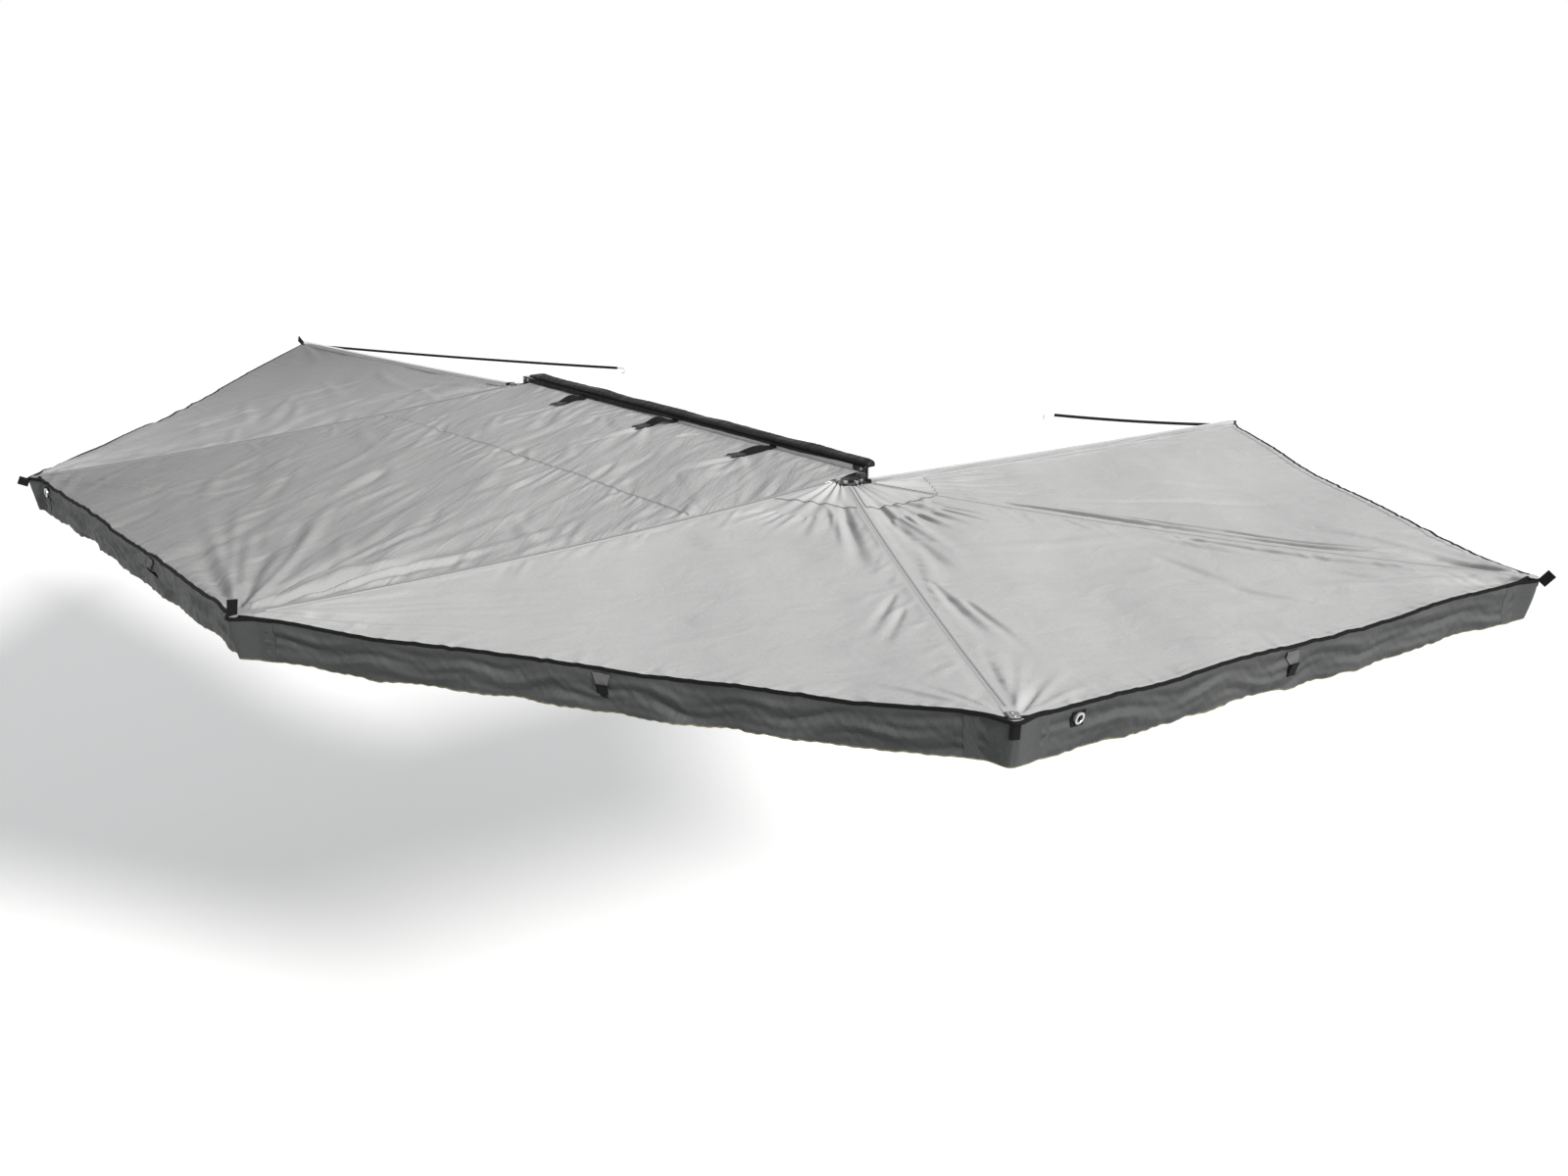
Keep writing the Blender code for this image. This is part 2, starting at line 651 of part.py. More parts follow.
def side_point(front, rear, share, out_share):
    """A point of the free cloth of the long side panel, from the keder rail to the outer edge."""
    hub_share = HUB_CLEARANCE / ARM_LENGTH
    ends = []
    for arm, inward in ((front, 1), (rear, -1)):
        if out_share < hub_share:
            corner_x = arm.pivot.x + inward * (CORNER_INSET + REST_WIDTH)
            corner = Vector((corner_x, CASE_EDGE_Y, CASE_EDGE_HEIGHT))
            first_rest = cloth_on(arm, HUB_CLEARANCE, inward * REST_WIDTH)
            ends.append(corner.lerp(first_rest, out_share / hub_share))
        else:
            ends.append(cloth_on(arm, ARM_LENGTH * out_share, inward * REST_WIDTH))
    point = ends[0].lerp(ends[1], share)
    belly = 4 * share * (1 - share)
    hem_height = cloth_on(front, ARM_LENGTH, 0).z
    taut = CASE_EDGE_HEIGHT + (hem_height - CASE_EDGE_HEIGHT) * out_share
    near_arm = abs(2 * share - 1) ** 3
    point.z = near_arm * point.z + (1 - near_arm) * taut - HEM_SAG * belly * out_share**2
    point.y += EDGE_CURVE * ARM_LENGTH * belly * out_share**2
    return point


def make_fan_panel(first, second, finish, root):
    across_steps, out_steps = 14, 8
    rows = []
    for k in range(out_steps + 1):
        reach = HUB_CLEARANCE + (ARM_LENGTH - HUB_CLEARANCE) * k / out_steps
        free = [fan_point(first, second, i / across_steps, k / out_steps) for i in range(across_steps + 1)]
        rows.append([sewn_edge(first, reach, 1), *free, sewn_edge(second, reach, -1)])
    sheet(f"canopy_{first.letter}{second.letter}", rows, -CLOTH * UPRIGHT, finish, root)


def make_side_panel(front, rear, finish, root):
    across_steps, out_steps = 18, 10
    hub_share = HUB_CLEARANCE / ARM_LENGTH
    shares = [0.0, hub_share / 2]
    shares += [hub_share + (1 - hub_share) * k / out_steps for k in range(out_steps + 1)]
    rows = []
    for share in shares:
        edges = []
        for arm, inward in ((front, 1), (rear, -1)):
            if share < hub_share:
                corner = Vector((arm.pivot.x + inward * CORNER_INSET, CASE_EDGE_Y, CASE_EDGE_HEIGHT))
                edges.append(corner.lerp(sewn_edge(arm, HUB_CLEARANCE, inward), share / hub_share))
            else:
                edges.append(sewn_edge(arm, ARM_LENGTH * share, inward))
        free = [side_point(front, rear, i / across_steps, share) for i in range(across_steps + 1)]
        rows.append([edges[0], *free, edges[1]])
    return sheet(f"canopy_{front.letter}{rear.letter}", rows, -CLOTH * UPRIGHT, finish, root)


def make_valance(name, outer_point, finish, root):
    """The cloth that hangs from one outer edge, with soft waves, from beside one arm to the next."""
    start = outer_point(0.0, 1.0)
    end = outer_point(1.0, 1.0)
    outward = (end - start).cross(UPRIGHT).normalized()
    steps, drops = 26, 3
    waves = (end - start).length / VALANCE_WAVE_LENGTH
    rows = []
    for k in range(drops + 1):
        fall = k / drops
        inward = VALANCE_DROP * fall * tan(VALANCE_LEAN)
        row = []
        for i in range(steps + 1):
            share = i / steps
            wave = VALANCE_WAVE * fall * sin(2 * pi * waves * share)
            drop = CLOTH + SEAT_GAP + VALANCE_DROP * fall
            row.append(outer_point(share, 1.0) + (wave - inward) * outward - drop * UPRIGHT)
        rows.append(row)
    sheet(name, rows, -CLOTH * outward, finish, root)


def make_canopy(arms, cloth, dark_cloth, root):
    """All panels and valances. Returns the long side panel."""
    letters = "abcdef"
    for first, second in zip(letters, letters[1:]):
        pair = arms[first], arms[second]
        if first == "b":
            side_panel = make_side_panel(*pair, cloth, root)
            outer_point = partial(side_point, *pair)
        else:
            make_fan_panel(*pair, cloth, root)
            outer_point = partial(fan_point, *pair)
        make_valance(f"valance_{first}{second}", outer_point, dark_cloth, root)
    return side_panel


def make_cover_straps(side_panel, webbing, plastic, root):
    """Three closure straps that lie on the side panel, each ending in its buckle."""
    mesh = side_panel.data
    faces = [tuple(face.vertices) for face in mesh.polygons]
    surface = BVHTree.FromPolygons([vertex.co for vertex in mesh.vertices], faces)

    def on_cloth(x, out, lift):
        above = Vector((x, CASE_EDGE_Y - out, 1))
        return surface.ray_cast(above, -UPRIGHT)[0] + lift * UPRIGHT

    def lying(name, middle, half_widths, start, length, thickness, finish):
        rows = []
        for k, half in enumerate(half_widths):
            out = start + length * k / (len(half_widths) - 1)
            sides = (-1, 0, 1)
            rows.append([on_cloth(middle + side * half, out, CLOTH_GAP + thickness) for side in sides])
        return sheet(name, rows, -thickness * UPRIGHT, finish, root)

    for index in range(3):
        x = (index - 1) * COVER_STRAP_X
        name = f"cover_strap_{index + 1}"
        widths = [COVER_STRAP_WIDTH / 2] * 7
        lying(name, x, widths, CLOTH_GAP, COVER_STRAP_LENGTH, COVER_STRAP_THICKNESS, webbing)
        name = f"cover_buckle_{index + 1}"
        shares = (COVER_BUCKLE_END_SHARE, 1, 1, 1, COVER_BUCKLE_END_SHARE)
        widths = [COVER_BUCKLE_WIDTH / 2 * share for share in shares]
        start = CLOTH_GAP + COVER_STRAP_LENGTH + SEAT_GAP
        lying(name, x, widths, start, COVER_BUCKLE_LENGTH, COVER_BUCKLE_THICKNESS, plastic)


def make_cam_buckle(arm, free_side, finish):
    """The buckle on an end arm's free side, its lever raised to the tip. Returns where its strap leaves."""
    end = TUBE_END + CAP_THICKNESS
    start = end - CAM_LENGTH
    near = ARM_WIDTH / 2 + SEAT_GAP
    far = near + CAM_THICKNESS
    lever = near + CAM_THICKNESS / 2
    profile = [(start, near), (end, near), (end, far), ((start + end) / 2, lever), (start, lever)]
    outline = [(x, free_side * y) for x, y in profile]
    middle = arm.centre(end)
    buckle = prism(outline, middle - CAM_HEIGHT / 2, middle + CAM_HEIGHT / 2)
    mesh_object(f"strap_buckle_{arm.letter}", *buckle, finish, arm.joint)
    exit_aside = free_side * (near + lever) / 2
    return arm.pivot + start * arm.along + exit_aside * arm.across + middle * UPRIGHT


def tube_curve(name, points, radius, finish, root, resolution=2):
    curve = bpy.data.curves.new(name, "CURVE")
    curve.dimensions = "3D"
    curve.bevel_depth = radius
    curve.bevel_resolution = resolution
    curve.use_fill_caps = True
    spline = curve.splines.new("POLY")
    spline.points.add(len(points) - 1)
    for target, point in zip(spline.points, points):
        target.co = (*point, 1)
    curve.materials.append(finish)
    made = bpy.data.objects.new(name, curve)
    bpy.context.scene.collection.objects.link(made)
    made.parent = root
    return made


def make_tension_strap(arm, free_side, metal, webbing, root):
    """The taut strap from a cam buckle to a hook on the vehicle's rack, which isn't part of the awning.

    free_side is -1 at the front arm and 1 at the rear one, as are the ends of the rail.
    """
    start = make_cam_buckle(arm, free_side, metal)
    end = Vector(STRAP_ANCHORS[arm.letter]) + Vector((free_side * HINGE_SPACING / 2, 0, 0))
    run = end - start
    direction = run.normalized()
    inwards = -direction.dot(arm.along)
    tilt = (1 - inwards**2) ** 0.5
    start += direction * (SEAT_GAP + STRAP_RADIUS * tilt) / inwards
    count = max(12, round(run.length / (8 * STRAP_RADIUS)))
    points = []
    for k in range(count + 1):
        share = k / count
        points.append(start.lerp(end, share) - 4 * STRAP_SAG * share * (1 - share) * UPRIGHT)
    tube_curve(f"tension_strap_{arm.letter}", points, STRAP_RADIUS, webbing, root)
    last = (points[-1] - points[-2]).normalized()
    upward = (UPRIGHT - UPRIGHT.dot(last) * last).normalized()
    shank_start = end + last * SEAT_GAP
    hook = [shank_start, shank_start + last * HOOK_SHANK]
    centre = hook[-1] - HOOK_BEND_RADIUS * upward
    steps = 8
    for k in range(1, steps + 1):
        turn = pi * k / steps
        hook.append(centre + HOOK_BEND_RADIUS * (sin(turn) * last + cos(turn) * upward))
    hook.append(hook[-1] - last * HOOK_LIP)
    tube_curve(f"strap_hook_{arm.letter}", hook, HOOK_WIRE_RADIUS, metal, root)


def main():
    clear_scene()
    aluminium = material("aluminium", (0.72, 0.73, 0.74), 0.35, 0.9)
    pale_rail = material("pale_rail", (0.55, 0.56, 0.56), 0.45, 0.6)
    black_steel = material("black_steel", (0.02, 0.02, 0.022), 0.45, 0.6)
    bright_steel = material("bright_steel", (0.6, 0.6, 0.6), 0.3, 1.0)
    black_plastic = material("black_plastic", (0.018, 0.018, 0.018), 0.5)
    webbing = material("webbing", (0.02, 0.02, 0.022), 0.85)
    canopy_cloth = material("canopy_cloth", (0.42, 0.42, 0.42), 0.8)
    valance_cloth = material("valance_cloth", (0.09, 0.095, 0.095), 0.8)
    cover_cloth = material("cover_cloth", (0.02, 0.02, 0.02), 0.7)

    root = empty("root")
    arms = make_arms()

    make_rail(root, aluminium)
    make_keder_rail(root, pale_rail)
    for name, side in (("front", -1), ("rear", 1)):
        x = side * BRACKET_X
        make_bracket(f"bracket_{name}", x, root, black_steel)
        make_mount_bolt(f"bracket_bolt_{name}", x, root, bright_steel)
    make_cover(root, cover_cloth)

    front_base = arms["b"].pivot.x - RAIL_FRONT_OVERHANG
    make_fork("hinge_fork_front", arms["b"], front_base, front_base + FORK_BASE_WIDTH, root, black_steel)
    make_fork("hinge_fork_rear", arms["c"], RAIL_REAR - FORK_BASE_WIDTH, RAIL_REAR, root, black_steel)

    for letter in "bc":
        make_pivot_bolt(letter, Matrix.Translation(arms[letter].pivot), root, bright_steel)
    for holder, held in (("b", "a"), ("c", "d"), ("d", "e"), ("e", "f")):
        arm = arms[holder]
        place = Matrix.Translation((0, arm.side * LANE_PITCH, 0))
        make_pivot_bolt(held, place, arm.joint, bright_steel)
    make_clamp_knob(arms["e"], black_plastic)

    for arm in arms.values():
        make_tube(arm, aluminium)
        make_knuckle(arm, black_steel)
        lug_end = make_tip(arm, black_plastic)
        if arm.letter in TAB_TILTS:
            make_tab(arm, lug_end, webbing)

    side_panel = make_canopy(arms, canopy_cloth, valance_cloth, root)
    make_cover_straps(side_panel, webbing, black_plastic, root)
    make_tension_strap(arms["a"], -1, bright_steel, webbing, root)
    make_tension_strap(arms["f"], 1, bright_steel, webbing, root)


main()
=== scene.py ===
"""Vehicle side awning, dressed: cloth with seams, puckers and hems, webbing, buckles, metal and plastic finishes.

Metres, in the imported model's frame: +X towards the vehicle's rear, -Y away from it, +Z up.
"""

from functools import reduce
from math import atan2, cos, pi, radians, sin, tan

import bpy
import numpy as np
from mathutils import Matrix, Vector


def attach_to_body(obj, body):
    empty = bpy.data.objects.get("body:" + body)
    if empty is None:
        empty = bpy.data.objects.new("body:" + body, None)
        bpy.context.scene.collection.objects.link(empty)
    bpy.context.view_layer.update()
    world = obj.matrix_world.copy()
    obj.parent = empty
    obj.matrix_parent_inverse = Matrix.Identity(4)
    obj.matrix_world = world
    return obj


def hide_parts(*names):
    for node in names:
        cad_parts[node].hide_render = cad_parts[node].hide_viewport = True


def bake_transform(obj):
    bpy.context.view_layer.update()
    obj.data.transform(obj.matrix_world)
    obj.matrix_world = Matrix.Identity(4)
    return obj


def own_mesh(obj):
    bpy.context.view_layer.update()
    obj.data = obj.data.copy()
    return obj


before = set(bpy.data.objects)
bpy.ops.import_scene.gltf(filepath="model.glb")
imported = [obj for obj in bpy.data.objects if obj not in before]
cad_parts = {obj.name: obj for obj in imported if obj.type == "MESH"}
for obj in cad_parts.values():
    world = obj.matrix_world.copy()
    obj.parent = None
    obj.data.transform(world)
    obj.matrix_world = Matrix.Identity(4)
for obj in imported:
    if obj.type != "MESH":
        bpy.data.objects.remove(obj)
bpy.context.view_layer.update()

scene = bpy.context.scene
rng = np.random.default_rng(7)
UP = np.array((0.0, 0.0, 1.0))
PULL = -53.0  # the way the cloth is pulled, in degrees from +X


# ---------------------------------------------------------------- camera
PHOTO_WIDTH, SENSOR_WIDTH = 1600, 36
FOCAL_PIXELS = 1918.39
CAMERA_PLACE = (5.42940, -3.73972, 1.31441)
CAMERA_AZIMUTH, CAMERA_ELEVATION, CAMERA_ROLL = 52.2816, 16.1806, -0.0289


def make_camera():
    azimuth, elevation, roll = (radians(a) for a in (CAMERA_AZIMUTH, CAMERA_ELEVATION, CAMERA_ROLL))
    back = Vector((sin(azimuth) * cos(elevation), -cos(azimuth) * cos(elevation), sin(elevation)))
    right = Vector((cos(azimuth), sin(azimuth), 0))
    up = back.cross(right)
    side = cos(roll) * right + sin(roll) * up
    top = -sin(roll) * right + cos(roll) * up
    place = Matrix((side, top, back)).transposed().to_4x4()
    place.translation = CAMERA_PLACE
    data = bpy.data.cameras.new("camera")
    data.sensor_width = SENSOR_WIDTH
    data.lens = SENSOR_WIDTH * FOCAL_PIXELS / PHOTO_WIDTH
    data.clip_start, data.clip_end = 0.05, 300
    camera = bpy.data.objects.new("camera", data)
    scene.collection.objects.link(camera)
    camera.matrix_world = place
    scene.camera = camera


make_camera()


# ---------------------------------------------------------------- materials
class Nodes:
    """The nodes of a material or of the world. Each call adds a node and gives its output."""

    def __init__(self, owner):
        owner.use_nodes = True
        self.owner, self.tree = owner, owner.node_tree

    def feed(self, node, inputs):
        for socket, value in inputs.items():
            if isinstance(value, bpy.types.NodeSocket):
                self.tree.links.new(value, node.inputs[socket])
            elif value is not None:
                node.inputs[socket].default_value = value

    def shade(self, inputs):
        self.feed(self.tree.nodes["Principled BSDF"], inputs)
        return self.owner

    def add(self, kind, inputs, output=0, **settings):
        node = self.tree.nodes.new("ShaderNode" + kind)
        for setting, value in settings.items():
            setattr(node, setting, value)
        self.feed(node, inputs)
        return node.outputs[output]

    def place(self, kind="Object", turn=0.0):
        return self.stretch(self.add("TexCoord", {}, kind), (1, 1, 1), turn)

    def stretch(self, vector, scale, turn=0.0):
        return self.add("Mapping", {"Vector": vector, "Scale": scale, "Rotation": (0, 0, turn)})

    def noise(self, vector, scale, detail=4.0, roughness=0.55, distortion=0.0):
        sizes = {"Scale": scale, "Detail": detail, "Roughness": roughness, "Distortion": distortion}
        return self.add("TexNoise", {"Vector": vector, **sizes}, "Fac")

    def stripes(self, vector, axis, scale):
        return self.add("TexWave", {"Vector": vector, "Scale": scale}, "Fac", bands_direction=axis)

    def ramp(self, value, *stops):
        node = self.tree.nodes.new("ShaderNodeValToRGB")
        for element, (spot, colour) in zip(node.color_ramp.elements, stops):
            element.position, element.color = spot, (*colour, 1)
        self.feed(node, {"Fac": value})
        return node.outputs["Color"]

    def maths(self, operation, *values, **settings):
        return self.add("Math", dict(enumerate(values)), operation=operation, **settings)

    def most(self, values):
        return reduce(lambda first, second: self.maths("MAXIMUM", first, second), values)

    def mix(self, share, first, second, blend="MIX"):
        first, second = ((*tone, 1) if isinstance(tone, tuple) else tone for tone in (first, second))
        return self.add("Mix", {0: share, 6: first, 7: second}, 2, data_type="RGBA", blend_type=blend)

    def along(self, vector, heading, low, high, first, last):
        """A factor that goes from first to last as the vector reaches further along the heading."""
        reach = self.add("VectorMath", {0: vector, 1: heading}, "Value", operation="DOT_PRODUCT")
        return self.add("MapRange", {0: reach, 1: low, 2: high, 3: first, 4: last})

    def bump(self, *layers):
        """Bumps one on another, each from (height, strength, distance)."""
        last = None
        for height, strength, distance in layers:
            last = self.add("Bump", {"Height": height, "Strength": strength, "Distance": distance, "Normal": last})
        return self.shade({"Normal": last})

    def seen(self):
        """1 for what is looked at, itself or in a mirror, and 0 for what only lights other things."""
        rays = ("Camera", "Glossy", "Transmission")
        return self.most(self.add("LightPath", {}, f"Is {ray} Ray") for ray in rays)


def new_nodes(name, colour, roughness, inputs=None):
    nodes = Nodes(bpy.data.materials.new(name))
    nodes.shade({"Base Color": (*colour, 1), "Roughness": roughness, **(inputs or {})})
    return nodes


def grey(tone):
    return (tone,) * 3


def scaled(colour, factor, lift=0.0):
    return tuple(factor * part + lift for part in colour)


CLOTH_SHINE = {"Sheen Weight": 0.04, "Specular IOR Level": 0.14}


def woven(name, colour, dark, crumple, roughness=0.55, thread=0.004, pulled=False, fray=None, shade_gradient=None, facing_shade=None):
    """Coated cloth: a fine weave, creases of several sizes, and faint dust and tone changes.

    fray is the tone of a worn lower edge. The gradient along the cloth is painted shade, darker towards one end,
    and the factor from the way a fold faces is painted light and shade.
    """
    nodes = new_nodes(name, colour, roughness, CLOTH_SHINE)
    flat, solid = nodes.place("UV"), nodes.place()
    tone = nodes.ramp(nodes.noise(solid, 2.2, 5.0, 0.6, 0.4), (0.3, dark), (0.7, colour))
    # Painted shade along a direction, then painted light and shade from the way each fold faces.
    for vector, factor in ((solid, shade_gradient), (nodes.place("Normal"), facing_shade)):
        if factor:
            tone = nodes.mix(1.0, tone, nodes.along(vector, *factor), "MULTIPLY")
    if fray:
        edge = nodes.maths("MULTIPLY", nodes.noise(flat, 70.0, 5.0, 0.7), 0.0110)
        height = nodes.add("SeparateXYZ", {"Vector": flat}, "Y")
        tone = nodes.mix(nodes.maths("LESS_THAN", height, nodes.maths("SUBTRACT", edge, 0.0022)), tone, fray)
    fleck = nodes.ramp(nodes.noise(solid, 160.0, 3.0, 0.7), (0.35, grey(0.90)), (0.65, grey(1.0)))
    small = nodes.noise(solid, 38.0, 4.0, 0.6, 1.2)
    nodes.shade({
        "Base Color": nodes.mix(0.8, tone, fleck, "MULTIPLY"),
        "Roughness": nodes.maths("MULTIPLY_ADD", small, 0.16, roughness - 0.08),
    })
    weave = nodes.maths("MULTIPLY", *(nodes.stripes(flat, axis, 1 / thread) for axis in "XY"))
    if pulled:
        lines = nodes.stretch(nodes.place("Object", -radians(PULL)), (2.2, 15.0, 1.0))
        broad = nodes.noise(lines, 1.0, 4.0, 0.55, 0.7), 0.6 * crumple, 0.016
    else:
        broad = nodes.noise(solid, 9.0, 3.0, 0.5, 0.8), 0.35 * crumple, 0.02
    return nodes.bump(broad, (small, 0.30 * crumple, 0.004), (weave, 0.15, 0.0004))


def webbing(name, colour):
    nodes = new_nodes(name, colour, 0.75, {"Specular IOR Level": 0.12})
    flat = nodes.place("UV")
    ribs = nodes.maths("MULTIPLY", nodes.stripes(flat, "X", 160.0), nodes.stripes(flat, "Y", 90.0))
    worn = nodes.noise(flat, 90.0, 4.0, 0.7)
    nodes.shade({"Base Color": nodes.ramp(worn, (0.5, colour), (0.85, scaled(colour, 1.8, 0.004)))})
    return nodes.bump((ribs, 0.7, 0.0006), (worn, 0.2, 0.0006))


def brushed(name, colour, turn, roughness=0.32):
    """Anodised aluminium with drawing lines along the bar, small scuffs and dull patches."""
    nodes = new_nodes(name, colour, roughness, {"Metallic": 0.9})
    along = nodes.place("Object", -turn)
    lines = nodes.noise(nodes.stretch(along, (3.0, 260.0, 260.0)), 1.0, 5.0, 0.6)
    scuffs = nodes.noise(along, 55.0, 6.0, 0.75, 1.5)
    tone = nodes.ramp(lines, (0.35, scaled(colour, 0.72)), (0.6, colour))
    marks = nodes.ramp(scuffs, (0.60, grey(1)), (0.72, grey(0.62)))
    nodes.shade({
        "Base Color": nodes.mix(0.7, tone, marks, "MULTIPLY"),
        "Roughness": nodes.maths("MULTIPLY_ADD", nodes.noise(along, 7.0, 4.0, 0.6), 0.25, roughness - 0.08),
    })
    return nodes.bump((lines, 0.25, 0.0006), (scuffs, 0.12, 0.0006))


def grained(name, colour, worn, roughness, metallic, grain, wear):
    """Powder coat, plastic or plated steel: a fine grain with scuffs of another tone."""
    nodes = new_nodes(name, colour, roughness, {"Metallic": metallic})
    solid = nodes.place()
    patches = nodes.noise(solid, 60.0, 6.0, 0.7, 1.0)
    tone = nodes.ramp(patches, (0.62 - 0.1 * wear, colour), (0.80, worn))
    shadow = nodes.ramp(nodes.noise(solid, 9.0, 3.0), (0.3, grey(0.8)), (0.7, grey(1)))
    nodes.shade({
        "Base Color": nodes.mix(0.8, tone, shadow, "MULTIPLY"),
        "Roughness": nodes.maths("MULTIPLY_ADD", patches, 0.25, roughness - 0.1),
    })
    return nodes.bump((nodes.noise(solid, grain, 3.0, 0.6), 0.25, 0.0006), (patches, 0.1, 0.0008))


STITCH_HALF = 0.00045


def stitched(name, left, right, rows, line_dark=0.42, line_half=0.0024):
    """A flat seam: cloth of one tone on each side of a dark line, with rows of stitches. The dark line is partly the
    seam's darker join and partly painted shadow of its groove. UVs are in metres.
    """
    nodes = new_nodes(name, left, 0.6, CLOTH_SHINE)
    along, across = (nodes.add("SeparateXYZ", {"Vector": nodes.add("TexCoord", {}, "UV")}, axis) for axis in "XY")
    tone = nodes.mix(nodes.maths("MULTIPLY_ADD", across, 2000.0, 0.5, use_clamp=True), left, right)
    # The dark middle line is partly the seam's own darker join and partly painted shadow of its groove.
    middle = nodes.maths("LESS_THAN", nodes.maths("ABSOLUTE", across), line_half)
    tone = nodes.mix(middle, tone, scaled(left, line_dark))
    dash = nodes.maths("LESS_THAN", nodes.maths("FRACT", nodes.maths("MULTIPLY", along, 250.0)), 0.66)
    gaps = (nodes.maths("ABSOLUTE", nodes.maths("SUBTRACT", across, row)) for row in rows)
    thread = nodes.maths("MULTIPLY", nodes.most(nodes.maths("LESS_THAN", gap, STITCH_HALF) for gap in gaps), dash)
    nodes.shade({"Base Color": nodes.mix(thread, tone, scaled(left, 0.45))})
    small = nodes.noise(nodes.place(), 120.0, 4.0, 0.6)
    return nodes.bump((small, 0.25, 0.001), (thread, 0.5, 0.0006), (middle, 0.5, 0.0004))


# One cloth in shaded copies: the front and middle tones are darker copies of the rear tone, painted shade.
PALE_FRONT, PALE_FRONT_DARK = (0.345, 0.344, 0.347), (0.318, 0.318, 0.320)
PALE_LEFT, PALE_LEFT_DARK = (0.425, 0.425, 0.426), (0.388, 0.388, 0.389)
PALE_RIGHT, PALE_RIGHT_DARK = (0.526, 0.527, 0.527), (0.492, 0.493, 0.493)
SUNWARD = (0.8, 0.6, 0)
# Painted shade darkens the front cloth towards its front end and the middle cloth towards its front outer corner;
# painted light and shade follow how folds face the sun.
cloth_front = woven("canopy_cloth_front_shaded", PALE_FRONT, PALE_FRONT_DARK, 1.0, pulled=True,
                    shade_gradient=((1, 0, 0), -2.7, -1.1, 0.52, 1.0), facing_shade=(SUNWARD, -0.35, 0.35, 0.86, 1.12))
cloth_left = woven("canopy_cloth_middle_shaded", PALE_LEFT, PALE_LEFT_DARK, 1.5, pulled=True,
                   shade_gradient=((0.5, 0.6, 0), -1.40, -0.25, 0.55, 1.0), facing_shade=(SUNWARD, -0.35, 0.35, 0.86, 1.10))
# Painted shade: the rear cloth darkens where a fold's wall faces away from the vehicle.
cloth_right = woven("canopy_cloth_rear", PALE_RIGHT, PALE_RIGHT_DARK, 0.7, facing_shade=((0, -1, 0), 0.09, 0.45, 1.0, 0.38))
# Painted shade on valance folds that face down, and painted light on those that face up.
valance_cloth = woven("valance_cloth", (0.071, 0.074, 0.073), (0.050, 0.053, 0.053), 1.5,
                      fray=(0.17, 0.155, 0.09), facing_shade=((0, 0, 1), -0.45, 0.45, 0.60, 1.40))
tongue_cloth = woven("tongue_cloth", (0.115, 0.117, 0.117), (0.09, 0.092, 0.092), 1.0)
cover_cloth = woven("cover_cloth", (0.013, 0.013, 0.014), grey(0.008), 1.6, roughness=0.48, thread=0.003)
binding = webbing("hem_binding", (0.005, 0.005, 0.0055))
black_webbing = webbing("black_webbing", (0.006, 0.006, 0.0065))
black_plastic = grained("black_plastic", (0.015, 0.015, 0.016), grey(0.05), 0.42, 0.0, 900.0, 0.3)
black_steel = grained("black_powder_coat", (0.017, 0.017, 0.018), (0.16, 0.16, 0.165), 0.42, 0.3, 1400.0, 0.6)
bright_steel = grained("zinc_plate", (0.62, 0.62, 0.61), (0.40, 0.39, 0.37), 0.34, 1.0, 500.0, 0.6)
worn_steel = grained("worn_zinc", grey(0.30), grey(0.12), 0.45, 1.0, 500.0, 0.9)
pale_rail = grained("pale_rail_paint", (0.62, 0.63, 0.63), grey(0.36), 0.42, 0.2, 700.0, 0.5)

# Each seam takes the tones of the panels beside it, painted shade included, and seam B's sides are darkened further,
# painted shade that meets the gradients there. The dark lines of the seams and of the patch's edge are partly darker
# joins and partly painted shadow.
SEAM_ROWS = (-0.0068, -0.0048, 0.0048, 0.0068)
seam_cloth = {
    "b": stitched("seam_cloth_b", scaled(PALE_LEFT, 0.64), scaled(PALE_FRONT, 0.95), SEAM_ROWS),
    "c": stitched("seam_cloth_c", PALE_LEFT, PALE_RIGHT, SEAM_ROWS),
    "d": stitched("seam_cloth_d", PALE_RIGHT, PALE_RIGHT, SEAM_ROWS),
    "e": stitched("seam_cloth_e", PALE_RIGHT, PALE_RIGHT, SEAM_ROWS),
    "cross": stitched("seam_cloth_cross", PALE_LEFT, PALE_LEFT, (-0.0058, 0.0058), 0.40, 0.0030),
}
patch_cloth = stitched("patch_cloth", PALE_RIGHT, PALE_RIGHT, (0.006, 0.012), 0.35, 0.0028)


# ---------------------------------------------------------------- arms, as the CAD has them
HINGE_SPACING, FRONT_AXIS_Y, REAR_AXIS_Y = 2.10, -0.060, -0.140
LANE_PITCH, ARM_LENGTH, ARM_WIDTH, ARM_HEIGHT = 0.034, 1.945, 0.022, 0.030
TUBE_START, TUBE_END, TUBE_STEPS, ARM_DROP = 0.0363, 1.935, 8, 0.067
LOADED_BOW, EDGE_BOW = 0.020, 0.004
CLOTH, CLOTH_GAP, SEAT_GAP, REST_WIDTH = 0.0012, 0.0008, 0.0003, 0.014
HUB_CLEARANCE, CORNER_INSET, EDGE_CURVE = 0.090, 0.085, 0.018
PANEL_SAG, HEM_SAG = 0.022, 0.020
PLEAT_DEPTH, PLEAT_COUNT, PLEAT_REACH = 0.004, 5, 0.45
VALANCE_DROP, VALANCE_LEAN, VALANCE_WAVE, VALANCE_WAVE_LENGTH = 0.110, 0.12, 0.007, 0.28
CASE_EDGE_Y, CASE_EDGE_HEIGHT = -0.0266, 0.0215
HUB_SHARE = HUB_CLEARANCE / ARM_LENGTH
FAN_REACH = ARM_LENGTH - HUB_CLEARANCE
ANGLES = {"a": -89.5, "b": 6.5, "c": 0.5, "d": 61.0, "e": 117.0, "f": 184.0}


